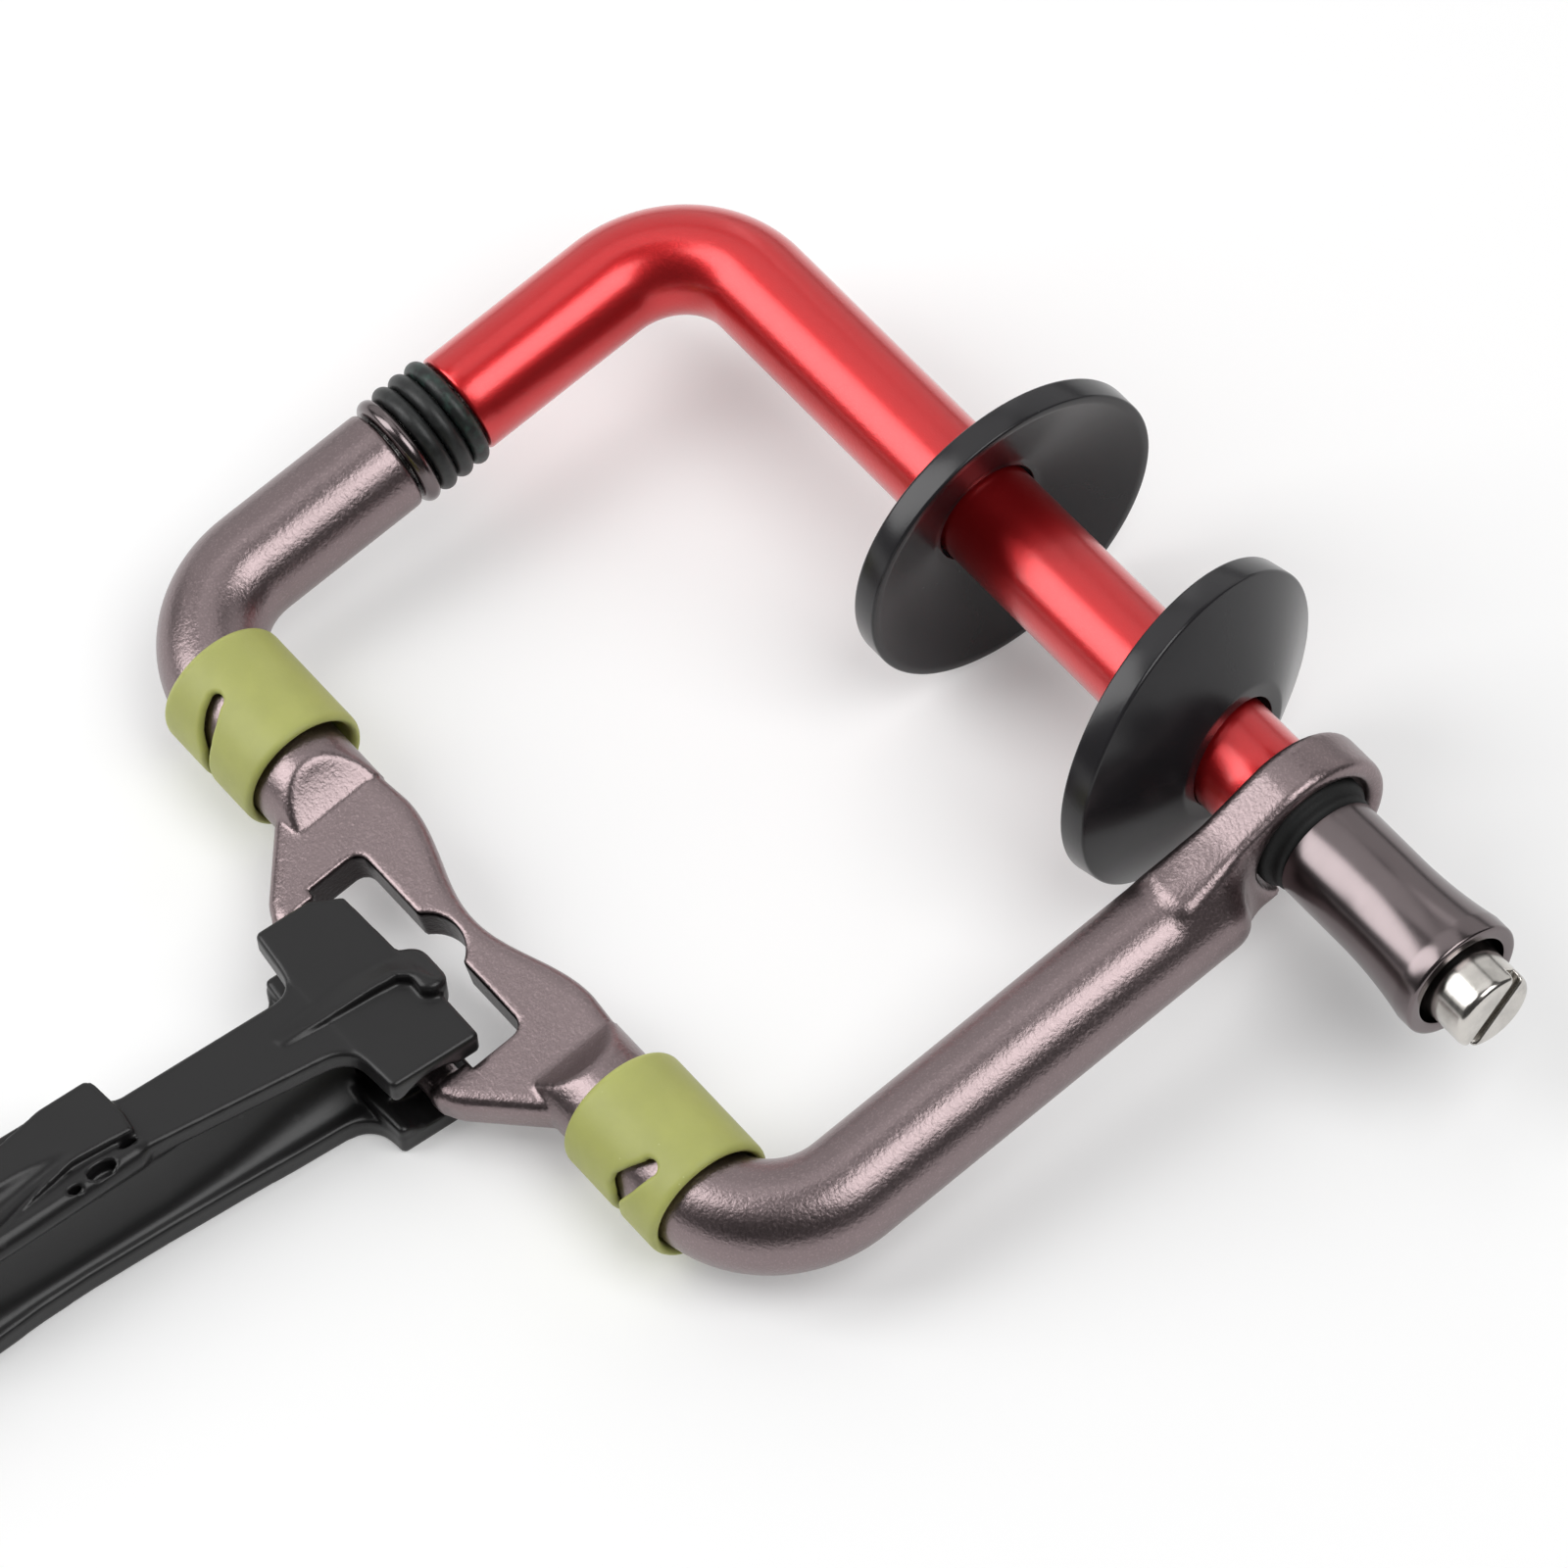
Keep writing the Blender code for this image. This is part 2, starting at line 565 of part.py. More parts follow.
def make_lock():
    """Stud, nose, knob, spring, washer and screw, all on the spool axis beyond the hook."""
    axis = (0, SPAN_Y, 0)
    stud_r = STUD_D / 2
    neck_r = STUD_NECK_D / 2
    stud_start = ARM_END_X - STUD_DEPTH
    chamfer = STUD_FIT * 2
    shank_r = SCREW_SHANK_D / 2
    tap_r = shank_r + CLEAR
    tap_end = STUD_END_X - SCREW_SHANK
    smooth(turned("lock_stud", [
        (0, tap_end),
        (tap_r, tap_end),
        (tap_r, STUD_END_X),
        (stud_r - chamfer, STUD_END_X),
        (stud_r, STUD_END_X - chamfer),
        (stud_r, NOSE_X - CLEAR),
        (neck_r, NOSE_X - CLEAR),
        (neck_r, ARM_END_X + CLEAR),
        (stud_r, ARM_END_X + CLEAR),
        (stud_r, stud_start + chamfer),
        (stud_r - chamfer, stud_start),
        (0, stud_start),
    ], black_steel, frame_axes, axis))

    hole_r = stud_r + STUD_FIT
    nose_r = NOSE_D / 2
    spigot_r = SPIGOT_D / 2
    nose_end = NOSE_X + NOSE_LENGTH
    smooth(turned("knob_nose", [
        (hole_r, nose_end + SPIGOT_LENGTH),
        (spigot_r, nose_end + SPIGOT_LENGTH),
        (spigot_r, nose_end),
        (nose_r, nose_end),
        (nose_r, NOSE_X + chamfer),
        (nose_r - chamfer, NOSE_X),
        (hole_r, NOSE_X),
    ], black_plastic, frame_axes, axis))

    knob_r = KNOB_D / 2
    lip_r = KNOB_LIP_D / 2
    bore_r = KNOB_BORE_D / 2
    flare_steps = 6
    flare_start = KNOB_X + KNOB_LENGTH / 3
    flare_end = KNOB_END_X - KNOB_LIP
    flare = []
    for i in range(flare_steps + 1):
        t = 1 - i / flare_steps
        flare.append((knob_r + (lip_r - knob_r) * t ** 2,
                      flare_start + (flare_end - flare_start) * t))
    wall_end = KNOB_X + KNOB_WALL
    socket_r = spigot_r + CLEAR
    socket_end = nose_end + SPIGOT_LENGTH + CLEAR
    profile = [(bore_r, KNOB_END_X), (lip_r - chamfer, KNOB_END_X), (lip_r, KNOB_END_X - chamfer)]
    profile += flare
    profile += [
        (knob_r, KNOB_X + chamfer),
        (knob_r - chamfer, KNOB_X),
        (socket_r, KNOB_X),
        (socket_r, socket_end),
        (hole_r, socket_end),
        (hole_r, wall_end),
        (bore_r, wall_end),
    ]
    smooth(turned("lock_knob", profile, gunmetal_turned, frame_axes, axis))

    coil_start = wall_end + CLEAR + SPRING_WIRE / 2
    coil_end = WASHER_X - CLEAR - SPRING_WIRE / 2
    coil_r = (stud_r + bore_r) / 2
    per_turn = 16
    coil = []
    for i in range(SPRING_TURNS * per_turn + 1):
        t = i / (SPRING_TURNS * per_turn)
        a = 2 * math.pi * SPRING_TURNS * t
        coil.append((coil_start + (coil_end - coil_start) * t,
                     SPAN_Y + coil_r * math.cos(a), coil_r * math.sin(a)))
    smooth(swept_bar("knob_spring", coil, SPRING_WIRE / 2, steel, frame_axes, 8))

    washer_r = bore_r - CLEAR
    turned("spring_washer", [
        (shank_r + CLEAR, WASHER_X + WASHER_T),
        (washer_r, WASHER_X + WASHER_T),
        (washer_r, WASHER_X),
        (shank_r + CLEAR, WASHER_X),
    ], steel, frame_axes, axis)

    head_r = SCREW_HEAD_D / 2
    head_end = SCREW_X + SCREW_HEAD
    screw = turned("cap_screw", [
        (0, head_end),
        (head_r - chamfer * 2, head_end),
        (head_r, head_end - chamfer * 2),
        (head_r, SCREW_X),
        (shank_r, SCREW_X),
        (shank_r, STUD_END_X - SCREW_SHANK + CLEAR),
        (0, STUD_END_X - SCREW_SHANK + CLEAR),
    ], bright_nickel, frame_axes, axis)
    cut(screw, block("screw_slot", (-SCREW_SLOT_DEPTH, -SCREW_HEAD_D, -SCREW_SLOT_W / 2),
                     (SCREW_SLOT_DEPTH, SCREW_HEAD_D, SCREW_SLOT_W / 2), None, frame_axes,
                     (SCREW_SLOT_TURN, 0, 0), (head_end, SPAN_Y, 0)))
    smooth(screw)


def make_cup(name, rim_x, opens, lean):
    """A dished cup and its bush. opens is 1 where the open side faces +x, -1 where it faces -x."""
    rim_r = CUP_D / 2
    bore_r = BUSH_BORE_D / 2
    bush_r = bore_r + BUSH_WALL
    flange_r = bush_r + BUSH_WALL
    hole_r = bush_r + CLEAR
    back_r = hole_r + CUP_LIP
    funnel_end = CUP_DEPTH - CUP_HUB
    edge = CUP_WALL / 4
    hub = CUP_DEPTH - CUP_HUB / 2
    turn = (0, math.pi / 2 * opens, lean)
    place_at = (rim_x - opens * hub, SPAN_Y, 0)
    smooth(turned(name, [
        (rim_r - edge, hub),
        (rim_r, hub - edge),
        (rim_r, hub - CUP_RIM),
        (back_r, hub - CUP_DEPTH),
        (hole_r, hub - CUP_DEPTH),
        (hole_r, hub - funnel_end),
        (flange_r + CLEAR, hub - funnel_end),
        (rim_r - CUP_WALL, hub - edge),
        (rim_r - CUP_WALL + edge, hub),
    ], cup_plastic, frame_axes, place_at, steps=CUP_ROUND, rotation=turn))

    shoulder = hub - funnel_end + CLEAR
    smooth(turned(f"{name}_bush", [
        (bore_r, shoulder + BUSH_FLANGE),
        (flange_r, shoulder + BUSH_FLANGE),
        (flange_r, shoulder),
        (bush_r, shoulder),
        (bush_r, hub - CUP_DEPTH),
        (bore_r, hub - CUP_DEPTH),
    ], bush_plastic, frame_axes, place_at, rotation=turn))


def make_keeper(name, x, slit_width, slit_at):
    """A silicone sleeve with a slit part of the way round that ends in a small round hole."""
    outer = KEEPER_D / 2
    inner = outer - KEEPER_WALL
    half = KEEPER_LENGTH / 2
    edge = KEEPER_EDGE
    sleeve = turned(name, [
        (inner, half - edge / 2),
        (inner + edge / 2, half),
        (outer - edge / 2, half - edge / 4),
        (outer, half - edge),
        (outer, -half + edge),
        (outer - edge / 2, -half + edge / 4),
        (inner + edge / 2, -half),
        (inner, -half + edge / 2),
    ], green_silicone, frame_axes, (x, KEEPER_SHIFT, 0))
    cut(sleeve, block(f"{name}_slit", (-slit_width / 2, -KEEPER_D, KEEPER_WALL * 1.6),
                      (slit_width / 2, KEEPER_D, KEEPER_D), None, frame_axes,
                      (KEEPER_SLIT_TURN, 0, 0), (x + slit_at, KEEPER_SHIFT, 0)))
    hole_r = slit_width / 2 + CLEAR
    cut(sleeve, turned(f"{name}_slit_end", [
        (0, KEEPER_D),
        (hole_r, KEEPER_D),
        (hole_r, 0),
        (0, 0),
    ], None, frame_axes, (x + slit_at, KEEPER_SHIFT, 0), steps=16,
        rotation=(KEEPER_HOLE_TURN, 0, 0)))
    smooth(sleeve)


def coved_section(far_top, far_foot, wall, top):
    """Section across the bracket: its far side, the foot, and a cove up to the near wall."""
    side = FOOT_W / 2 - 2 * BRACKET_EDGE
    foot = BRACKET_EDGE - HEAD_UNDER
    low = STEM_FLANGE - HEAD_UNDER
    high = HEAD_TOP - 2 * BRACKET_EDGE
    points = [(far_top, top), (far_foot, foot), (side, foot)]
    for a in (90, 72, 54, 36, 18, 0):
        turn = math.radians(a)
        points.append((side - (side - wall) * math.cos(turn),
                       high - (high - low) * math.sin(turn)))
    return points + [(wall, top)]


def make_bracket():
    """Plastic arm: two jaws on the rim bar, a stem with a web, and a saddle for a rod."""
    lip = HEAD_REACH - FORK_LIP * 2
    upper_jaw = [
        (-HEAD_BACK, HEAD_TOP),
        (-HEAD_BACK, FORK_HALF),
        (lip - FORK_LIP, FORK_HALF),
        (lip, FORK_HALF - FORK_LIP),
        (HEAD_REACH, FORK_HALF - FORK_LIP),
        (HEAD_REACH, HEAD_TOP),
    ]
    lower_jaw = [
        (-HEAD_BACK, -FORK_HALF),
        (-HEAD_BACK, -HEAD_UNDER),
        (HEAD_REACH, -HEAD_UNDER),
        (HEAD_REACH, FORK_LIP - FORK_HALF),
        (lip, FORK_LIP - FORK_HALF),
        (lip - FORK_LIP, -FORK_HALF),
    ]
    bracket = plate("bracket_arm", [upper_jaw], HEAD_W, BRACKET_EDGE, gloss_plastic,
                    bracket_axes, (0, 0, 0), OUTLINE_YZ)
    lower = plate("lower_jaw", [lower_jaw], HEAD_W, BRACKET_EDGE, None, bracket_axes,
                  (0, 0, 0), OUTLINE_YZ)
    overlap = BRACKET_EDGE * 2
    wall = block("jaw_web", (-FORK_WEB / 2, -HEAD_BACK, -HEAD_UNDER + BRACKET_EDGE),
                 (FORK_WEB / 2, -FORK_DEPTH, HEAD_TOP - BRACKET_EDGE), None, bracket_axes)

    stem = [
        (-STEM_FAR, -HEAD_BACK + overlap),
        (-STEM_FAR, -STEM_END - overlap),
        (STEM_NEAR_TAIL, -STEM_END - overlap),
        (STEM_NEAR_HEAD, -HEAD_BACK + overlap),
    ]
    top_flange = plate("stem_top", [stem], STEM_FLANGE, BRACKET_EDGE, None, bracket_axes,
                       (0, 0, HEAD_TOP - STEM_FLANGE / 2), OUTLINE_XY)
    web_section = coved_section(-WEB_T / 2, -WEB_T / 2, STEM_WALL, HEAD_TOP - BRACKET_EDGE)
    web = plate("stem_web", [web_section], STEM_LENGTH + 2 * overlap, BRACKET_EDGE, None,
                bracket_axes, (0, -HEAD_BACK - STEM_LENGTH / 2, 0), OUTLINE_XZ)
    foot = block("stem_foot", (-FOOT_W / 2, -SADDLE_END, -HEAD_UNDER),
                 (FOOT_W / 2, -HEAD_BACK + overlap, -HEAD_UNDER + STEM_FLANGE), None,
                 bracket_axes, edge=BRACKET_EDGE)

    saddle_section = coved_section(-SADDLE_FAR, overlap - FOOT_W / 2, SADDLE_NEAR, HEAD_TOP)
    saddle = plate("saddle", [saddle_section], SADDLE_LENGTH, BRACKET_EDGE * 2, None, bracket_axes,
                   (0, -STEM_END - SADDLE_LENGTH / 2, 0), OUTLINE_XZ)
    groove = turned("rod_groove", [
        (0, SADDLE_LENGTH),
        (GROOVE_R, SADDLE_LENGTH),
        (GROOVE_R, -SADDLE_LENGTH * 2),
        (0, -SADDLE_LENGTH * 2),
    ], None, bracket_axes,
        (GROOVE_U, -STEM_END - GROOVE_START, HEAD_TOP + GROOVE_R / math.cos(GROOVE_DIP)),
        rotation=(GROOVE_DIP - math.pi / 2, 0, 0))
    cut(saddle, groove)

    for i, share in enumerate((0.45, 0.85)):
        middle = -STEM_END - SADDLE_LENGTH * share
        floor = HEAD_TOP - SADDLE_LENGTH * share * math.tan(GROOVE_DIP)
        cut(saddle, block(f"strap_slot_{i + 1}",
                          (-FOOT_W, middle - STRAP_SLOT_W / 2, floor - STRAP_SLOT * 1.5),
                          (FOOT_W, middle + STRAP_SLOT_W / 2, floor - STRAP_SLOT / 2),
                          None, bracket_axes))

    ridge = turned("head_ridge", [
        (0, RIDGE_R),
        (RIDGE_R * math.sin(math.radians(30)), RIDGE_R * math.cos(math.radians(30))),
        (RIDGE_R * math.sin(math.radians(60)), RIDGE_R * math.cos(math.radians(60))),
        (RIDGE_R, 0),
        (RIDGE_TAIL_R, -RIDGE_LENGTH),
        (0, -RIDGE_LENGTH),
    ], None, bracket_axes, (RIDGE_U, HEAD_REACH - RIDGE_SET_BACK, HEAD_TOP - RIDGE_R / 2), "y", 24)
    cut(ridge, block("ridge_underside", (-RIDGE_R * 2, -RIDGE_LENGTH, -HEAD_UNDER),
                     (RIDGE_R * 2, RIDGE_LENGTH, FORK_HALF + CLEAR), None, bracket_axes))
    join(bracket, lower, wall, top_flange, web, foot, saddle, ridge)
    smooth(bracket)


def lean_places():
    """Where the frame's corner and the rim bar stand, with the part's box centred on the origin."""
    rise = math.sin(FRAME_LEAN)
    run = math.cos(FRAME_LEAN)
    corner_z = HEAD_UNDER + RIM_Y * rise
    low_x = -(PIVOT_D / 2 + CLEAR + RING_CORD)
    high_x = SCREW_X + SCREW_HEAD
    corner_x = -(low_x + high_x) / 2
    tail = SADDLE_END * math.cos(BRACKET_SKEW) + FOOT_W / 2 * math.sin(BRACKET_SKEW)
    low_y = -RIM_Y * run - tail
    high_y = SPAN_Y * run + CUP_D / 2
    corner_y = -(low_y + high_y) / 2
    return (corner_x, corner_y, corner_z), (corner_x + MID_X, corner_y - RIM_Y * run, HEAD_UNDER)


remove_everything()
parts = new_collection("line_spool_holder")
cutters = new_collection("cutters")

gunmetal = make_material("gunmetal_forged", (122, 112, 112), 0.42, 0.9)
gunmetal_turned = make_material("gunmetal_turned", (128, 118, 118), 0.25, 0.95)
red_anodised = make_material("red_anodised", (196, 38, 44), 0.35, 0.8)
steel = make_material("steel", (176, 172, 168), 0.3, 1.0)
black_steel = make_material("black_steel", (46, 44, 46), 0.35, 0.8)
bright_nickel = make_material("bright_nickel", (214, 210, 204), 0.15, 1.0)
black_rubber = make_material("black_rubber", (34, 34, 36), 0.55, 0.0)
black_plastic = make_material("black_plastic", (24, 24, 26), 0.4, 0.0)
cup_plastic = make_material("cup_plastic", (42, 41, 44), 0.45, 0.0)
bush_plastic = make_material("bush_plastic", (30, 29, 30), 0.4, 0.0)
gloss_plastic = make_material("gloss_plastic", (26, 26, 28), 0.15, 0.0)
green_silicone = make_material("green_silicone", (176, 188, 88), 0.5, 0.0)

corner_at, rim_at = lean_places()
frame_axes = new_empty("frame_axes", corner_at, (FRAME_LEAN, 0, 0))
bracket_axes = new_empty("bracket_axes", rim_at, (0, 0, -BRACKET_SKEW))

make_main_frame()
make_swing_arm()
make_swivel()
make_lock()
make_cup("cup_left", CUP_LEFT_X, 1, 0)
make_cup("cup_right", CUP_RIGHT_X, -1, CUP_RIGHT_LEAN)
make_keeper("keeper_left", KEEPER_X, KEEPER_SLIT_LEFT, KEEPER_SLIT_LEFT_AT)
make_keeper("keeper_right", SPAN_X - KEEPER_X, KEEPER_SLIT_RIGHT, KEEPER_SLIT_RIGHT_AT)
make_bracket()
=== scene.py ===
"""Dress the packed line spool holder and set it on a pale studio floor."""
import math

import bmesh
import bpy
import numpy as np
from bpy.props import FloatProperty, FloatVectorProperty, PointerProperty
from bpy.types import Operator, Panel, PropertyGroup
from mathutils import Euler, Matrix, Vector


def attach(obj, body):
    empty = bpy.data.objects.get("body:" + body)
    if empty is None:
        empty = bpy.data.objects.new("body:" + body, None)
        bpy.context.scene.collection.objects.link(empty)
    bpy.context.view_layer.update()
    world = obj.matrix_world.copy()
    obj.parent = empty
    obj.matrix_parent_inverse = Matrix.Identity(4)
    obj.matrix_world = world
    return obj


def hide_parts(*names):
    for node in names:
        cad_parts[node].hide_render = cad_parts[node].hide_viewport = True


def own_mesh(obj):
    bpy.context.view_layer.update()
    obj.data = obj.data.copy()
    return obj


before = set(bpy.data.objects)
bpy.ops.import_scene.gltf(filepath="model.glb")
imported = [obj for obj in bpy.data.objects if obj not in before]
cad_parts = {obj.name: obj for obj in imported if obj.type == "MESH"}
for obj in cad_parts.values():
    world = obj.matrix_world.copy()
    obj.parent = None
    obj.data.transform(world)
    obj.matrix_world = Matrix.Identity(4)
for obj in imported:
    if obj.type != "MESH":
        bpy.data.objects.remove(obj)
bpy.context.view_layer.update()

bl_info = {
    "name": "Line spool holder",
    "version": (1, 0, 0),
    "blender": (4, 5, 0),
    "location": "View3D > Sidebar > Spool holder",
    "description": "Forged frame, swing arm, spool cups, lock, line keepers and rod bracket",
    "category": "Object",
}

MM = 0.001

# Axes of the frame and of the bracket in the packed model
FRAME_AT = (-0.0636, 0.0080604, 0.0086872)
FRAME_LEAN = math.radians(8.1848)
FRAME_AXES = Matrix.Translation(FRAME_AT) @ Matrix.Rotation(FRAME_LEAN, 4, "X")
BRACKET_AT = (-0.0121, -0.0033224, 0.00705)
BRACKET_SKEW = math.radians(-3.5)
BRACKET_AXES = Matrix.Translation(BRACKET_AT) @ Matrix.Rotation(BRACKET_SKEW, 4, "Z")

# Box round the flat's slot in the packed model, where painted shade darkens the slot's walls: each
# end fades between two values
SLOT_X = ((-0.0276, -0.0272), (0.0030, 0.0034))
SLOT_Y = ((-0.0020, -0.0010), (0.0092, 0.0096))

# Shorter edges are closed up, and a smaller radius counts as a point on the axis
SHORTEST_EDGE = 0.005 * MM
ON_AXIS = 1e-6

# Colours of specks and dust, of pale edges, and of the painted greenish highlight on the last rubber
# ring
SPECK = (0.75, 0.78, 0.45, 1.0)
DUST = (0.30, 0.29, 0.28, 1.0)
PALE_EDGE = (0.05, 0.048, 0.05, 1.0)
PAINTED_RING_HIGHLIGHT = (0.020, 0.045, 0.036, 1.0)

# The photograph's camera: square image, place, and its right, up and back directions
CAMERA_LENS = 225.0
CAMERA_SENSOR = 36.0
CAMERA_AT = (0.47728, -0.26927, 0.86916)
CAMERA_RIGHT = (0.6182, 0.78381, -0.05921)
CAMERA_UP = (-0.6331, 0.54123, 0.55339)
CAMERA_BACK = (0.4658, -0.30458, 0.8308)

# Studio floor: radii of its rings, how far it lies below the part, and how much white it adds
FLOOR_RINGS = (0.4, 1.2, 4.0, 12.0)
FLOOR_DROP = 0.00005
FLOOR_GLOW = 0.25

# Soft boxes: name, direction from the part, distance, width and height
SOFT_BOXES = (
    ("key_box", (-0.47, -0.52, 0.62), 1.1, 0.60, 1.05),
    ("top_box", (0.45, 0.18, 0.87), 1.1, 0.70, 0.72),
    ("roof_panel", (-0.40, 0.20, 0.89), 1.2, 0.80, 0.70),
    ("left_panel", (-0.87, 0.25, 0.42), 1.4, 1.5, 1.0),
    ("back_panel", (-0.25, 0.85, 0.46), 1.4, 1.5, 1.0),
)

# Directions of a turned part's axis, which is its own z
ALONG_X = Euler((0, math.pi / 2, 0))
ALONG_Y = Euler((-math.pi / 2, 0, 0))


def length(name, description, millimetres):
    """A size that a user may change, stored in metres."""
    return FloatProperty(name=name, description=description, default=millimetres * MM,
                         min=0.0, precision=5, subtype="DISTANCE", unit="LENGTH")


def colour(name, description, red, green, blue):
    """A linear colour that a user may change."""
    return FloatVectorProperty(name=name, description=description, default=(red, green, blue),
                               size=3, min=0.0, max=1.0, subtype="COLOR")


def level(name, description, value):
    """A brightness that a user may change."""
    return FloatProperty(name=name, description=description, default=value, min=0.0)


class FrameSizes(PropertyGroup):
    """Sizes of the forged frame and of the red arm."""
    span_x: length("Span along the spool", "Between the axes of the two side bars", 103.0)
    span_y: length("Span across", "From the flat to the spool axis", 73.0)
    bar: length("Bar", "Diameter of the bar", 12.0)
    bend: length("Bend", "Radius of the bends at the bar's middle", 12.0)
    stub: length("Stub", "Height of the frame's stub below the swivel", 30.6)
    flat: length("Flat", "Thickness of the flat", 5.2)
    flat_half: length("Flat half", "From the flat's middle to its crease", 20.2)
    rim: length("Rim", "From the flat's middle line to the rim bar", 11.5)
    rim_bar: length("Rim bar", "Diameter of the rim bar", 4.2)
    lobe: length("Lobe", "Radius of the flat's outer lobes", 6.0)
    scoop: length("Scoop", "Radius of the hollow between bar and flat", 22.0)
    hook_hole: length("Hook hole", "Diameter of the hook's eye", 14.8)
    hook_wall: length("Hook wall", "Width of the hook's ring", 2.3)
    hook_thick: length("Hook thickness", "Thickness of the hook along the spool", 6.0)
    arm_foot: length("Arm foot", "Height of the red arm's lower end", 39.95)
    cell: length("Cell", "Mesh size of the forged surface", 0.4)


class SmallSizes(PropertyGroup):
    """Sizes of the turned and moulded small parts."""
    cup: length("Cup", "Diameter of a spool cup", 37.8)
    cup_rim: length("Cup rim", "Width of a cup's rim band", 3.1)
    cup_depth: length("Cup depth", "Depth of a cup from rim to back", 7.6)
    cup_left: length("Left cup", "Place of the left cup's open rim along the spool", 55.3)
    cup_right: length("Right cup", "Place of the right cup's open rim along the spool", 83.7)
    keeper: length("Keeper", "Outer diameter of a line keeper", 15.2)
    keeper_wall: length("Keeper wall", "Wall of a line keeper", 1.1)
    keeper_length: length("Keeper length", "Length of a line keeper", 15.6)
    keeper_inset: length("Keeper inset", "From a side bar's axis to the keeper's middle", 16.5)
    knob: length("Knob", "Diameter of the lock knob's neck", 12.3)
    knob_lip: length("Knob lip", "Diameter of the knob's flared end", 14.4)
    screw: length("Screw", "Diameter of the cap screw's head", 9.4)
    ring: length("Ring", "Cord of a rubber ring", 2.1)


class BracketSizes(PropertyGroup):
    """Sizes of the plastic bracket."""
    head: length("Head", "Width of the fork head", 25.4)
    top: length("Top", "Height of the top face above the rim bar", 6.05)
    under: length("Underside", "Depth of the underside below the rim bar", 7.05)
    jaw: length("Jaw", "From the rim bar's axis to the inside of a jaw", 2.95)
    back: length("Back", "From the rim bar's axis to the back of the jaws", 5.584)
    front: length("Front", "From the rim bar's axis to the front of the jaws", 5.4)
    end: length("End", "From the rim bar to the saddle's end", 95.584)
    groove: length("Groove", "Radius of the rod groove", 4.8)
    cell: length("Cell", "Mesh size of the moulded surface", 0.36)


class HolderColours(PropertyGroup):
    """Colours of the finishes, in linear values."""
    gunmetal: colour("Gunmetal", "Forged frame", 0.246, 0.194, 0.198)
    turned: colour("Turned gunmetal", "Lock knob and bead", 0.172, 0.144, 0.147)
    red: colour("Red", "Anodised swing arm", 0.640, 0.014, 0.018)
    green: colour("Green", "Silicone line keepers", 0.395, 0.410, 0.122)
    cup: colour("Cup", "Satin plastic of the spool cups", 0.017, 0.016, 0.018)
    bracket: colour("Bracket", "Gloss plastic of the bracket", 0.009, 0.0086, 0.009)
    rubber: colour("Rubber", "Rings of the swivel", 0.010, 0.011, 0.011)
    steel: colour("Steel", "Pin, spring and washer", 0.36, 0.35, 0.34)
    # Painted shade: the lock stud is near black so that the hook's eye reads dark
    black: colour("Black steel", "Lock stud", 0.02, 0.019, 0.02)
    nickel: colour("Nickel", "Cap screw", 0.60, 0.575, 0.54)


class StageSettings(PropertyGroup):
    """Floor and light of the studio."""
    floor: colour("Floor", "Pale studio floor", 0.95, 0.95, 0.95)
    world: level("Room", "Level of the room's own light", 0.06)
    key: level("Key box", "Level of the tall soft box", 4.15)
    top: level("Top box", "Level of the overhead soft box", 4.15)
    fill: level("Fill panels", "Level of the fill panels", 0.73)
    roof: level("Roof panel", "Level of the roof panel", 1.0)


class Wire:
    """A socket of a node tree; sums and products of wires add Math nodes."""

    def __init__(self, tree, socket):
        self.tree = tree
        self.socket = socket

    def math(self, operation, first, second):
        """A Math node on two values, either of which may be a number."""
        node = self.tree.nodes.new("ShaderNodeMath")
        node.operation = operation
        for target, value in zip(node.inputs, (first, second)):
            if isinstance(value, Wire):
                self.tree.links.new(value.socket, target)
            else:
                target.default_value = value
        return Wire(self.tree, node.outputs[0])

    def __add__(self, other):
        return self.math("ADD", self, other)

    def __radd__(self, other):
        return self.math("ADD", other, self)

    def __sub__(self, other):
        return self.math("SUBTRACT", self, other)

    def __rsub__(self, other):
        return self.math("SUBTRACT", other, self)

    def __mul__(self, other):
        return self.math("MULTIPLY", self, other)

    def __rmul__(self, other):
        return self.math("MULTIPLY", other, self)


class Tree:
    """A node tree that is written as expressions."""

    def __init__(self, tree):
        self.tree = tree
        tree.nodes.clear()

    def add(self, kind, settings, sockets, out=0):
        """One node: its type, its settings, then the values or links of its sockets."""
        node = self.tree.nodes.new(kind)
        for key, value in settings.items():
            setattr(node, key, value)
        for key, value in sockets.items():
            if isinstance(value, Wire):
                self.tree.links.new(value.socket, node.inputs[key])
            else:
                node.inputs[key].default_value = value
        return Wire(self.tree, node.outputs[out]) if len(node.outputs) else None


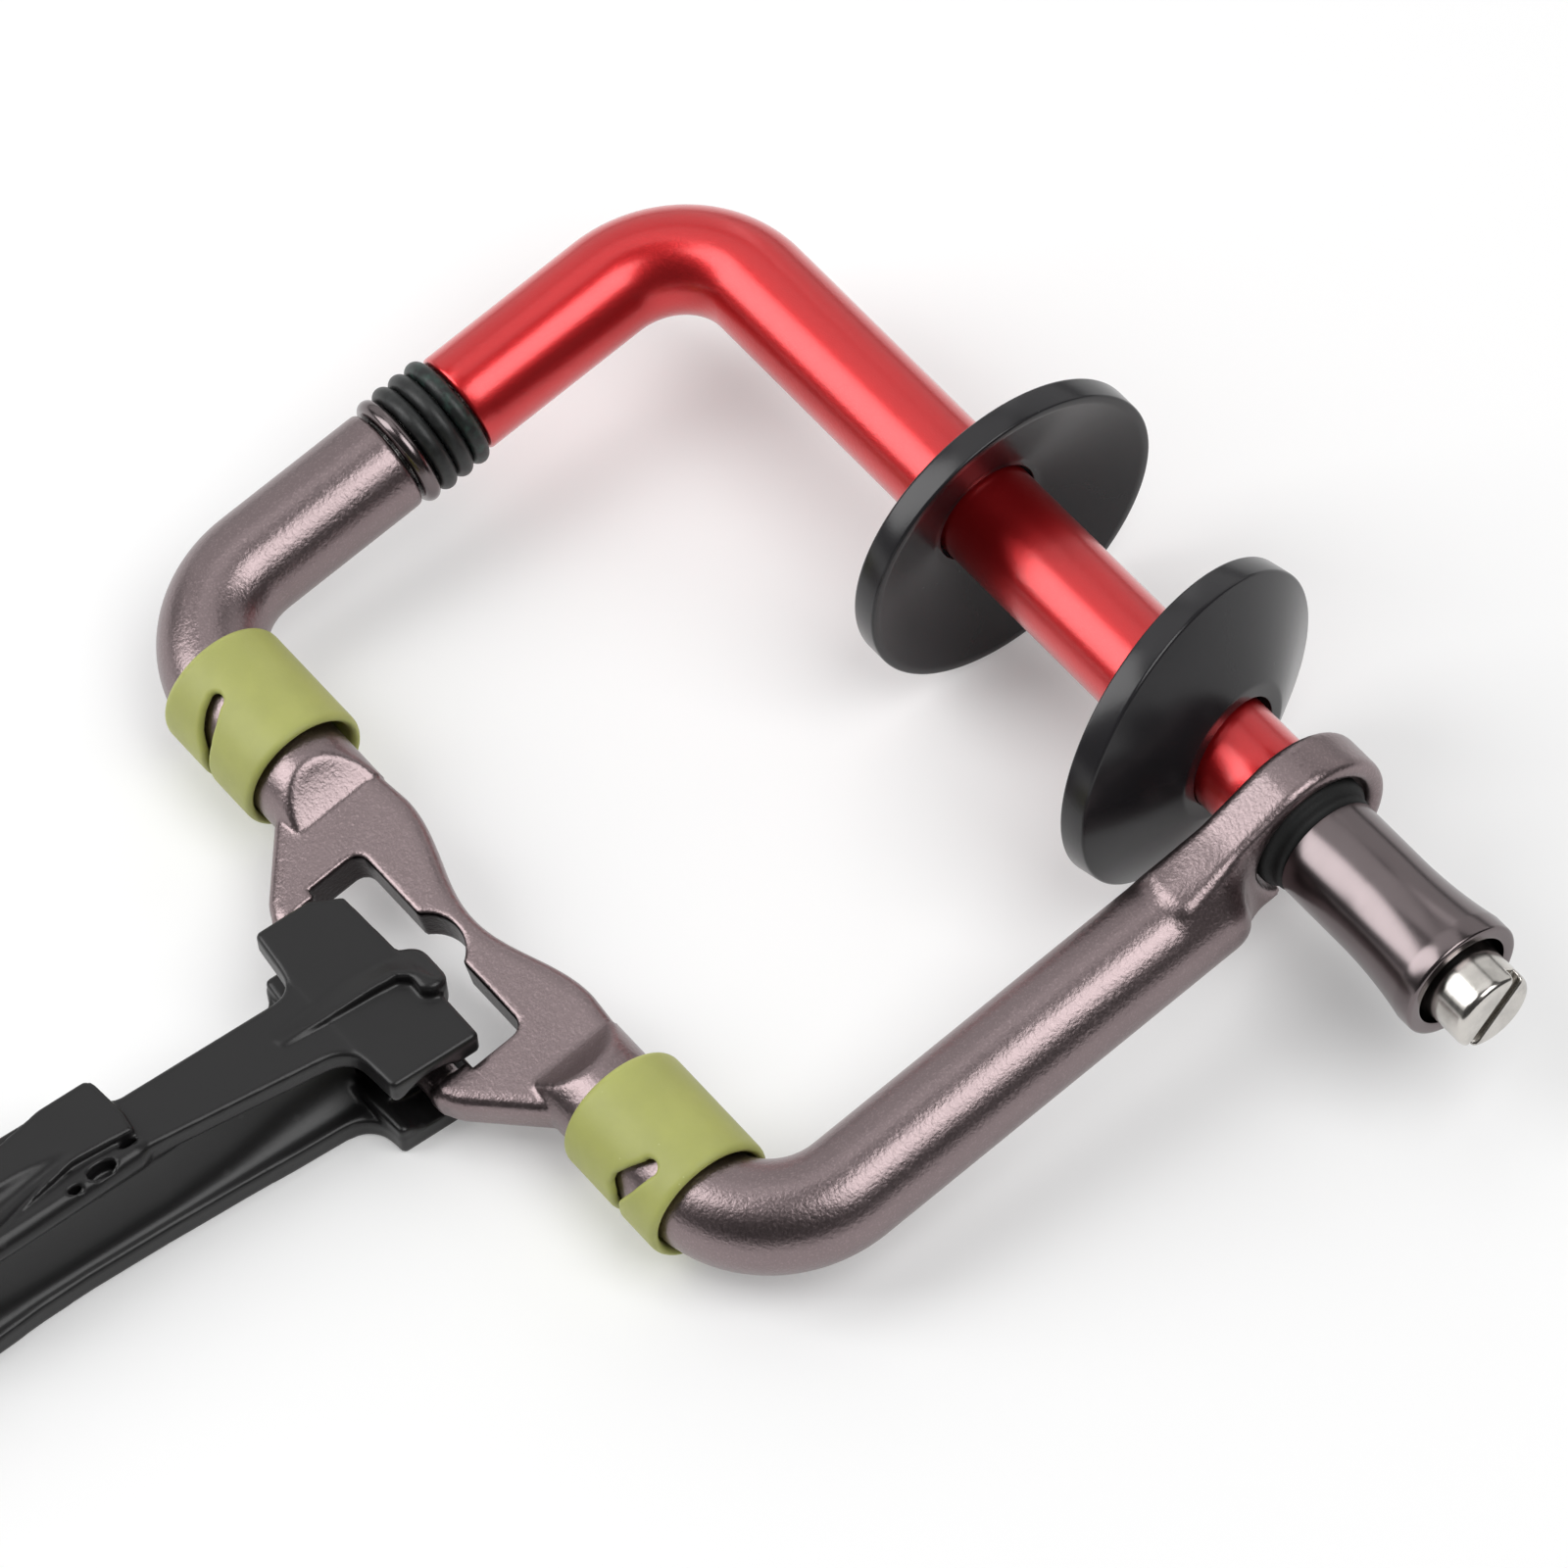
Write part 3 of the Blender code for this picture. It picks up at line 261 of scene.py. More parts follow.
class Finish(Tree):
    """A surface finish: one shader fed by patterns in the part's own coordinates."""

    def __init__(self, name):
        self.material = bpy.data.materials.new(name)
        self.material.use_nodes = True
        super().__init__(self.material.node_tree)
        self.place = self.add("ShaderNodeTexCoord", {}, {}, "Object")

    def noise(self, size, detail=2.0, stretch=None):
        """Soft noise with features of about that size in millimetres."""
        at = self.place
        if stretch is not None:
            at = self.add("ShaderNodeVectorMath", {"operation": "MULTIPLY"},
                          {0: self.place, 1: stretch})
        return self.add("ShaderNodeTexNoise", {},
                        {"Vector": at, "Scale": 1 / (size * MM), "Detail": detail,
                         "Roughness": 0.55})

    def cells(self, size):
        """Distance to scattered points that lie about that far apart in millimetres."""
        return self.add("ShaderNodeTexVoronoi", {},
                        {"Vector": self.place, "Scale": 1 / (size * MM)}, "Distance")

    def band(self, value, low, high):
        """0 below low, 1 above high, and a smooth step between."""
        return self.add("ShaderNodeMapRange", {"interpolation_type": "SMOOTHSTEP"},
                        {"Value": value, "From Min": low, "From Max": high})

    def mix(self, share, first, second):
        """The first colour, with that share of the second."""
        return self.add("ShaderNodeMix", {"data_type": "RGBA"},
                        {0: share, 6: first, 7: second}, 2)

    def bump(self, height, depth):
        """Relief of that depth in millimetres."""
        return self.add("ShaderNodeBump", {}, {"Height": height, "Distance": depth * MM})

    def edges(self, low, high):
        """1 on outer edges, 0 elsewhere."""
        return self.band(self.add("ShaderNodeNewGeometry", {}, {}, "Pointiness"), low, high)

    def axis(self, vector, name):
        """One of a vector's three parts."""
        return self.add("ShaderNodeSeparateXYZ", {}, {0: vector}, name)

    def between(self, value, start, stop):
        """1 between two ends, each given as the two values that it fades over."""
        return self.band(value, *start) * (1 - self.band(value, *stop))

    def painted_slot_shade(self):
        """1 on the upright walls of the flat's slot: the mask of the painted shade that darkens
        them.
        """
        normal = self.add("ShaderNodeNewGeometry", {}, {}, "Normal")
        upright = 1 - self.band(self.axis(normal, "Z"), 0.35, 0.80)
        across = self.between(self.axis(self.place, "X"), *SLOT_X)
        along = self.between(self.axis(self.place, "Y"), *SLOT_Y)
        return upright * (across * along)

    def close(self, **sockets):
        """The shader, with sockets named as in Blender but with _ for a space."""
        named = {key.replace("_", " "): value for key, value in sockets.items()}
        shader = self.add("ShaderNodeBsdfPrincipled", {}, named)
        self.add("ShaderNodeOutputMaterial", {}, {"Surface": shader})
        return self.material


def tone(rgb, factor):
    """A colour made lighter or darker, with full alpha."""
    return (rgb[0] * factor, rgb[1] * factor, rgb[2] * factor, 1.0)


def forged_gunmetal(rgb):
    """Plated gunmetal over a blasted forging: hammered peel, sparkling grain, pale edges, and
    painted shade on the slot's walls.
    """
    f = Finish("forged_gunmetal")
    peel = f.noise(0.55, 1.0)
    grain = f.noise(0.26, 2.0)
    cloud = f.noise(9.0, 2.0)
    base = f.mix(cloud, tone(rgb, 0.90), tone(rgb, 1.10))
    base = f.mix(f.band(grain, 0.50, 0.72) * 0.45, base, tone(rgb, 1.6))
    base = f.mix(f.edges(0.56, 0.66) * 0.25, base, tone(rgb, 1.4))
    # Painted shade: the slot's upright walls take a dark tone of the metal
    base = f.mix(f.painted_slot_shade(), base, tone(rgb, 0.12))
    return f.close(Base_Color=base, Metallic=1.0, Roughness=0.25 + grain * 0.16,
                   Normal=f.bump(peel * 0.6 + grain * 0.4, 0.065))


def turned_gunmetal(rgb):
    """Smooth plated turning with faint tool rings along its axis."""
    f = Finish("turned_gunmetal")
    rings = f.noise(0.11, 1.0, (1.0, 0.02, 0.02))
    cloud = f.noise(5.0, 2.0)
    base = f.mix(cloud, tone(rgb, 0.92), tone(rgb, 1.08))
    base = f.mix(f.edges(0.53, 0.62) * 0.3, base, tone(rgb, 1.5))
    return f.close(Base_Color=base, Metallic=1.0, Roughness=0.20 + rings * 0.05,
                   Normal=f.bump(rings, 0.0015))


def red_anodised(rgb):
    """Dyed anodised tube: satin blasted grain under a clear skin."""
    f = Finish("red_anodised")
    grain = f.noise(0.16, 1.0)
    ripple = f.noise(0.55, 2.0)
    cloud = f.noise(12.0, 2.0)
    base = f.mix(cloud, tone(rgb, 0.92), tone(rgb, 1.08))
    pale = (rgb[0], rgb[1] * 3, rgb[2] * 3, 1.0)
    base = f.mix(f.band(grain, 0.60, 0.80) * 0.25, base, pale)
    return f.close(Base_Color=base, Metallic=0.82, Roughness=0.29 + grain * 0.12,
                   Coat_Weight=1.0, Coat_Roughness=0.22, Coat_IOR=1.5,
                   Normal=f.bump(ripple * 0.6 + grain * 0.4, 0.036))


def green_silicone(rgb):
    """Soft cast silicone: cloudy colour, a satin skin and a few pale specks."""
    f = Finish("green_silicone")
    cloud = f.noise(4.5, 3.0)
    skin = f.noise(0.35, 2.0)
    specks = 1 - f.band(f.cells(2.6), 0.02, 0.05)
    base = f.mix(f.band(cloud, 0.30, 0.70), tone(rgb, 0.96), tone(rgb, 1.04))
    base = f.mix(specks * 0.3, base, SPECK)
    return f.close(Base_Color=base, Roughness=0.42 + skin * 0.16, Subsurface_Weight=0.35,
                   Subsurface_Radius=(0.0012, 0.0014, 0.0005), Subsurface_Scale=1.0,
                   Normal=f.bump(skin, 0.012))


def cup_plastic(rgb):
    """Satin black moulding with fine tool marks and dust."""
    f = Finish("cup_plastic")
    skin = f.noise(0.25, 2.0)
    cloud = f.noise(7.0, 2.0)
    dust = (1 - f.band(f.cells(1.7), 0.02, 0.06)) * f.band(f.noise(6.0, 1.0), 0.5, 0.7)
    base = f.mix(cloud, tone(rgb, 0.8), tone(rgb, 1.25))
    base = f.mix(dust * 0.5, base, DUST)
    return f.close(Base_Color=base, Roughness=0.19 + skin * 0.08 + dust * 0.3, IOR=1.44,
                   Normal=f.bump(skin, 0.006))


def gloss_plastic(rgb):
    """Glossy black moulding with flow clouds, fine scuffs and bright edges."""
    f = Finish("gloss_plastic")
    flow = f.noise(6.0, 3.0)
    skin = f.noise(0.5, 2.0)
    scuffs = f.band(f.noise(0.5, 1.0, (0.12, 1.0, 0.6)), 0.72, 0.80)
    base = f.mix(flow, tone(rgb, 0.85), tone(rgb, 1.2))
    base = f.mix(f.edges(0.54, 0.64) * 0.3, base, PALE_EDGE)
    return f.close(Base_Color=base, Roughness=0.31 + skin * 0.08 + scuffs * 0.1, IOR=1.44,
                   Normal=f.bump(skin * 0.6 + flow * 0.4, 0.006))


def black_rubber(rgb, name, bloom_and_highlight, roughness=0.34):
    """Matt rubber with a fine bloom in the colour bloom_and_highlight; on the last swivel ring that
    colour is a painted highlight.
    """
    f = Finish(name)
    bloom = f.noise(1.1, 3.0)
    skin = f.noise(0.2, 1.0)
    base = f.mix(f.band(bloom, 0.4, 0.7), tone(rgb, 0.8), bloom_and_highlight)
    return f.close(Base_Color=base, Roughness=roughness + skin * 0.2,
                   Normal=f.bump(skin, 0.01))


def bare_metal(rgb, name, roughness):
    """Bright or blackened metal with fine drawn lines and slight tarnish."""
    f = Finish(name)
    lines = f.noise(0.13, 1.0, (1.0, 0.04, 0.04))
    tarnish = f.noise(2.4, 3.0)
    base = f.mix(f.band(tarnish, 0.35, 0.75), tone(rgb, 1.05), tone(rgb, 0.82))
    return f.close(Base_Color=base, Metallic=1.0, Roughness=roughness + lines * 0.12,
                   Normal=f.bump(lines, 0.004))


def soft_min(a, b, k):
    """The smaller of two distances, with the join filleted over k."""
    h = np.maximum(k - np.abs(a - b), 0) / k
    return np.minimum(a, b) - h * h * k / 4


def soft_max(a, b, k):
    """The larger of two distances, with the edge rounded over k."""
    return -soft_min(-a, -b, k)


def segment(px, py, start, end):
    """Distance in a plane to a line between two points."""
    ax, ay = start
    dx, dy = end[0] - ax, end[1] - ay
    t = np.clip(((px - ax) * dx + (py - ay) * dy) / (dx * dx + dy * dy), 0, 1)
    return np.hypot(px - ax - t * dx, py - ay - t * dy)


def bend(px, py, centre, radius, side_x, side_y):
    """Distance in a plane to a quarter arc, and far away outside its quarter."""
    far_away = 1e3
    dx, dy = px - centre[0], py - centre[1]
    within = (dx * side_x >= 0) & (dy * side_y >= 0)
    return np.where(within, np.abs(np.hypot(dx, dy) - radius), far_away)


def outline(px, py, points):
    """Signed distance in a plane to a closed outline, negative inside."""
    px, py = np.broadcast_arrays(px, py)
    best = np.full(px.shape, np.inf)
    inside = np.zeros(px.shape, bool)
    for (ax, ay), (bx, by) in zip(points, points[1:] + points[:1]):
        dx, dy = bx - ax, by - ay
        t = np.clip(((px - ax) * dx + (py - ay) * dy) / (dx * dx + dy * dy), 0, 1)
        best = np.minimum(best, (px - ax - t * dx) ** 2 + (py - ay - t * dy) ** 2)
        crosses = (ay > py) != (by > py)
        if dy:
            inside ^= crosses & (px < ax + (py - ay) * dx / dy)
    return np.where(inside, -1, 1) * np.sqrt(best)


def box(x, y, z, low, high, edge):
    """Signed distance to a box with rounded edges."""
    parts = [np.abs(c - (a + b) / 2) - (b - a) / 2 + edge for c, a, b in zip((x, y, z), low, high)]
    outer = np.sqrt(sum(np.maximum(p, 0) ** 2 for p in parts))
    inner = np.minimum(np.maximum(np.maximum(parts[0], parts[1]), parts[2]), 0)
    return outer + inner - edge


def arc(centre, radius, start, end, steps):
    """Points on an arc, with angles in degrees."""
    turns = np.radians(np.linspace(start, end, steps + 1))
    return [(centre[0] + radius * math.cos(a), centre[1] + radius * math.sin(a)) for a in turns]


def mirrored(points):
    """A half outline at positive x and its mirror image, as one closed outline."""
    return points + [(-x, y) for x, y in reversed(points)]


def net(shape, low, high, cell):
    """Quads on the surface where shape is zero, one point for each cell that it crosses."""
    before, after = 1.5 * cell, 2.5 * cell
    axes = [np.arange(a - before, b + after, cell) for a, b in zip(low, high)]
    grids = np.ix_(*axes)
    size = tuple(len(a) for a in axes)
    values = np.broadcast_to(shape(*grids), size).astype(np.float32)
    inside = values < 0

    # Number the cells that have corners both inside and outside
    corners = [(i, j, k) for i in (0, 1) for j in (0, 1) for k in (0, 1)]
    count = np.zeros(tuple(n - 1 for n in size), np.int8)
    for i, j, k in corners:
        count += inside[i:size[0] - 1 + i, j:size[1] - 1 + j, k:size[2] - 1 + k]
    mixed = (count > 0) & (count < 8)
    cells = np.argwhere(mixed)
    number = np.full(mixed.shape, -1, np.int64)
    number[mixed] = np.arange(len(cells))

    # Put each cell's point at the mean of the places where the surface crosses its edges
    total = np.zeros((len(cells), 3))
    hits = np.zeros(len(cells))
    for a in corners:
        for b in corners:
            if sum(b) - sum(a) != 1 or any(q < p for p, q in zip(a, b)):
                continue
            va = values[tuple((cells + a).T)].astype(float)
            vb = values[tuple((cells + b).T)].astype(float)
            crossing = (va < 0) != (vb < 0)
            t = np.where(crossing, va / np.where(crossing, va - vb, 1), 0)
            total += crossing[:, None] * (np.array(a) + t[:, None] * (np.array(b) - np.array(a)))
            hits += crossing
    start = np.array([a[0] for a in axes])
    points = start + cell * (cells + total / hits[:, None])

    # Join the four cells round each edge of the grid that the surface crosses
    quads = []
    step = np.eye(3, dtype=int)
    for axis in range(3):
        one, two = step[(axis + 1) % 3], step[(axis + 2) % 3]
        lower = np.moveaxis(np.moveaxis(inside, axis, 0)[:-1], 0, axis)
        upper = np.moveaxis(np.moveaxis(inside, axis, 0)[1:], 0, axis)
        edges = np.argwhere(lower != upper)
        leaving = lower[tuple(edges.T)]
        ring = [number[tuple((edges - shift).T)] for shift in (one + two, two, 0 * one, one)]
        ring = np.stack(ring, 1)
        quads.append(np.where(leaving[:, None], ring, ring[:, ::-1]))
    return settle(shape, points, cell), np.concatenate(quads)


def settle(shape, points, cell, rounds=3):
    """Move points on to the surface along its slope."""
    probe, least_steep, most = cell * 0.05, 0.05, 0.4 * cell
    for _ in range(rounds):
        x, y, z = points.T
        here = shape(x, y, z)
        slope = np.stack([
            shape(x + probe, y, z) - shape(x - probe, y, z),
            shape(x, y + probe, z) - shape(x, y - probe, z),
            shape(x, y, z + probe) - shape(x, y, z - probe),
        ], 1) / (2 * probe)
        steep = np.maximum((slope ** 2).sum(1), least_steep)
        move = np.clip(here / np.sqrt(steep), -most, most) / np.sqrt(steep)
        points = points - move[:, None] * slope
    return points


def add_piece(name, surface, axes, finish, body, replaced, sharp=None):
    """Points and faces in millimetres of their own axes, as a piece that rides on a body."""
    points, faces = surface
    turn = np.array(axes)
    world = (np.asarray(points) * MM) @ turn[:3, :3].T + turn[:3, 3]
    mesh = bpy.data.meshes.new(name)
    mesh.from_pydata(world.tolist(), [], [list(map(int, face)) for face in faces])
    clean = bmesh.new()
    clean.from_mesh(mesh)
    bmesh.ops.dissolve_degenerate(clean, dist=SHORTEST_EDGE, edges=clean.edges)
    clean.to_mesh(mesh)
    clean.free()
    mesh.validate()
    mesh.shade_smooth()
    if sharp is not None:
        mesh.set_sharp_from_angle(angle=math.radians(sharp))
    mesh.materials.append(finish)
    piece = bpy.data.objects.new(name, mesh)
    bpy.context.scene.collection.objects.link(piece)
    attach(piece, body)
    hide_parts(*replaced)
    return piece


def eased(points, cut, steps=4):
    """A closed profile with each corner rounded over a cut length, as steps + 1 points."""
    result = []
    count = len(points)
    share = 0.45
    for i, (r, h) in enumerate(points):
        before = Vector(points[i - 1]) - Vector((r, h))
        after = Vector(points[(i + 1) % count]) - Vector((r, h))
        if r == 0:
            result.append((r, h))
            continue
        reach = min(cut, before.length * share, after.length * share)
        first = Vector((r, h)) + before.normalized() * reach
        last = Vector((r, h)) + after.normalized() * reach
        for j in range(steps + 1):
            t = j / steps
            p = first * (1 - t) ** 2 + Vector((r, h)) * (2 * t * (1 - t)) + last * t ** 2
            result.append((p.x, p.y))
    return result


def lathe(profile, sides):
    """Points and faces of a profile of (radius, height) turned about z, closed on itself."""
    points, rings = [], []
    for radius, height in profile:
        if radius < ON_AXIS:
            rings.append([len(points)] * sides)
            points.append((0, 0, height))
            continue
        rings.append(list(range(len(points), len(points) + sides)))
        turns = np.arange(sides) * 2 * math.pi / sides
        points += [(radius * math.cos(a), radius * math.sin(a), height) for a in turns]
    pairs = list(zip(rings, rings[1:]))
    if profile[0][0] > ON_AXIS:
        pairs.append((rings[-1], rings[0]))
    return points, shell(pairs)


def shell(pairs):
    """Faces between pairs of rings of point numbers; a ring on the axis repeats its one point."""
    faces = []
    for low, high in pairs:
        for i in range(len(low)):
            j = (i + 1) % len(low)
            faces.append(list(dict.fromkeys([low[i], high[i], high[j], low[j]])))
    return [face for face in faces if len(face) > 2]


def coil(radius, wire, start, end, turns):
    """Points and faces of a round wire wound about z, from start to end."""
    sides, steps_per_turn = 12, 24
    points, rings = [], []
    for t in np.linspace(0, 1, steps_per_turn * turns + 1):
        a = 2 * math.pi * turns * t
        rings.append(list(range(len(points), len(points) + sides)))
        for b in np.arange(sides) * 2 * math.pi / sides:
            out = radius + wire * math.cos(b)
            rise = start + (end - start) * t + wire * math.sin(b)
            points.append((out * math.cos(a), out * math.sin(a), rise))
    faces = [rings[0], rings[-1][::-1]]
    for low, high in zip(rings, rings[1:]):
        faces += [[low[i], low[i - 1], high[i - 1], high[i]] for i in range(sides)]
    return points, faces


def on_axis(x, y, z, turn):
    """Axes of a turned part in the frame's own axes, with its place in millimetres."""
    return FRAME_AXES @ Matrix.Translation((x * MM, y * MM, z * MM)) @ turn.to_matrix().to_4x4()


def finish_node(name, material):
    """Give a node that keeps its own shape a better finish."""
    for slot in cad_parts[name].material_slots:
        slot.material = material


def sweep(stations, sides):
    """A closed round skin through stations of (centre, direction, radius)."""
    points, rings = [], []
    up = Vector((0, 0, 1))
    turns = np.arange(sides) * 2 * math.pi / sides
    for centre, direction, radius in stations:
        if radius == 0:
            rings.append([len(points)] * sides)
            points.append(tuple(centre))
            continue
        side = direction.cross(up).normalized()
        rings.append(list(range(len(points), len(points) + sides)))
        points += [tuple(centre + radius * (math.cos(a) * side + math.sin(a) * up)) for a in turns]
    return points, shell(zip(rings, rings[1:]))


def frame_shape(s):
    """The forged frame: two bent bars, a flat with a slot and a rim, and an open hook."""
    span_x, span_y, radius, curve = s.span_x / MM, s.span_y / MM, s.bar / MM / 2, s.bend / MM
    stub, half, rim_y = s.stub / MM, s.flat_half / MM, s.rim / MM
    rim_r, lobe, scoop = s.rim_bar / MM / 2, s.lobe / MM, s.scoop / MM
    thick, eye, wall = s.flat / MM / 2, s.hook_hole / MM / 2, s.hook_wall / MM
    middle = span_x / 2
    left, right = middle - half, middle + half
    hook_inset, hook_half = 0.6, s.hook_thick / MM / 2
    hook_x = span_x - hook_inset

    # The flat's outline, its slot, and the notch behind the rim bar
    waist_y, lobe_x, lobe_rise = 2.5, 16.1, 3.6
    flat_side = [(lobe_x * t, waist_y + lobe_rise * (1 - math.cos(math.pi * t)) / 2)
                 for t in np.linspace(0.04, 1, 24)]
    flat_side += [(20.0, 5.75), (25.05, 5.1), (25.05, -5.4), (24.3, -5.7)]
    flat_side += arc((13.1, lobe - rim_y - rim_r), lobe, -48, -90, 12)
    flat_outline = mirrored(flat_side)
    slot_half, slot_top, slot_foot = 14.3, -1.7, 3.0
    bulge_rise, bulge_r, bulge_turn = 2.1, 4.67, 56.6
    slot_side = arc((0, slot_top + bulge_rise - bulge_r), bulge_r, 85, 90 - bulge_turn, 8)
    slot_side += arc((12.7, -3.3), 1.6, 90, 0, 8) + [(slot_half, slot_foot - rim_y)]
    slot_outline = mirrored(slot_side)
    notch_half, notch_top = 13.3, 4.1

    # The hook, seen along the spool
    hook_mouth, hook_start, hook_ease = 10.4, -16.4, 0.3
    lip = wall / 2
    mouth = -math.degrees(math.acos(hook_mouth / (2 * eye)))
    tip = (math.cos(math.radians(mouth)) * (eye + lip), math.sin(math.radians(mouth)) * (eye + lip))
    low = hook_ease - radius
    root_y = -5.3
    root_turn = math.degrees(math.acos(-root_y / eye))
    hook_outline = [(hook_start, low), (root_y, low)]
    hook_outline += arc((0, 0), eye, 180 + root_turn, mouth, 60)
    hook_outline += arc(tip, lip, mouth + 180, mouth + 360, 10)[1:]
    hook_outline += arc((0, 0), eye + wall, mouth, 100, 40)[1:] + [(hook_start, radius - hook_ease)]

    # The axis of the hollow between bar and flat, from the two ends of its curve
    scoop_length, scoop_rise = 4.8, radius + 0.3 - thick
    chord = math.hypot(scoop_length, scoop_rise)
    reach = math.sqrt(scoop ** 2 - chord ** 2 / 4)
    scoop_x = reach * scoop_rise / chord - scoop_length / 2
    scoop_z = thick + scoop_rise / 2 + reach * scoop_length / chord

    # How far a bar runs on into what ends it, the pin's bore, and the shoulder below the hook
    overlap = 8
    bore_r, bore_end = 4.6, 17.3
    shoulder = 10.4

    # Rounded edges and fillets
    stub_edge, bore_edge, scoop_edge, shoulder_edge, hook_edge = 0.8, 0.3, 0.5, 3.4, 1.3
    flat_edge, slot_edge = 1.9, 0.5
    hook_fillet, rim_fillet, crease, join = 2.6, 0.9, 0.12, 0.01

    def scooped(bar, x, z, crease_x, outward):
        cutter = scoop - np.hypot((x - crease_x) * outward + scoop_x, np.abs(z) - scoop_z)
        bar = soft_max(bar, cutter, scoop_edge)
        return np.maximum(bar, (crease_x - x) * outward)

    def shape(x, y, z):
        path = np.minimum(segment(x, y, (0, curve), (0, stub + overlap)),
                          bend(x, y, (curve, curve), curve, -1, -1))
        path = np.minimum(path, segment(x, y, (curve, 0), (left + overlap, 0)))
        first = soft_max(np.sqrt(path ** 2 + z ** 2) - radius, y - stub, stub_edge)
        first = scooped(first, x, z, left, -1)
        bore = np.maximum(np.hypot(x, z) - bore_r, bore_end - y)
        first = soft_max(first, -bore, bore_edge)

        path = np.minimum(segment(x, y, (span_x, curve), (span_x, span_y)),
                          bend(x, y, (span_x - curve, curve), curve, 1, -1))
        path = np.minimum(path, segment(x, y, (span_x - curve, 0), (right - overlap, 0)))
        second = np.sqrt(path ** 2 + z ** 2) - radius
        second = soft_max(second, y - (span_y - shoulder), shoulder_edge)
        second = scooped(second, x, z, right, 1)

        eye_plane = outline(y - span_y, z, hook_outline)
        hook = soft_max(eye_plane, np.abs(x - hook_x) - hook_half, hook_edge)
        second = soft_min(second, hook, hook_fillet)

        plan = outline(x - middle, y, flat_outline)
        notch = np.maximum(np.abs(x - middle) - notch_half, y + rim_y - notch_top)
        slot = np.minimum(notch, outline(x - middle, y, slot_outline))
        flat = soft_max(plan, np.abs(z) - thick, flat_edge)
        flat = soft_max(flat, -slot, slot_edge)
        rim = np.maximum(np.hypot(y + rim_y, z) - rim_r, np.abs(x - middle) - slot_half)
        flat = soft_min(flat, rim, rim_fillet)
        return soft_min(soft_min(first, flat, crease), soft_min(second, flat, crease), join)

    return shape


def keeper_shape(s, centre, path, end_hole):
    """A silicone sleeve about the bar, with a slanting slit that starts at a round hole."""
    outer, wall, half = s.keeper / MM / 2, s.keeper_wall / MM, s.keeper_length / MM / 2
    turns, shifts, widths = zip(*path)
    sag, sleeve_edge, slit_edge = 0.4, 1.1, 0.7

    def shape(x, y, z):
        out = np.hypot(y - sag, z)
        turn = np.degrees(np.arctan2(z, y - sag)) % 360
        sleeve = soft_max(np.abs(out - outer + wall / 2) - wall / 2,
                          np.abs(x - centre) - half, sleeve_edge)
        away = x - centre - np.interp(turn, turns, shifts)
        around = np.radians(1.0) * outer
        slit = np.maximum(np.abs(away) - np.interp(turn, turns, widths) / 2,
                          np.maximum(turns[0] - turn, turn - turns[-1]) * around)
        hole = np.hypot(x - centre - shifts[0], (turn - turns[0]) * around) - end_hole / 2
        return soft_max(sleeve, -np.minimum(slit, hole), slit_edge)

    return shape


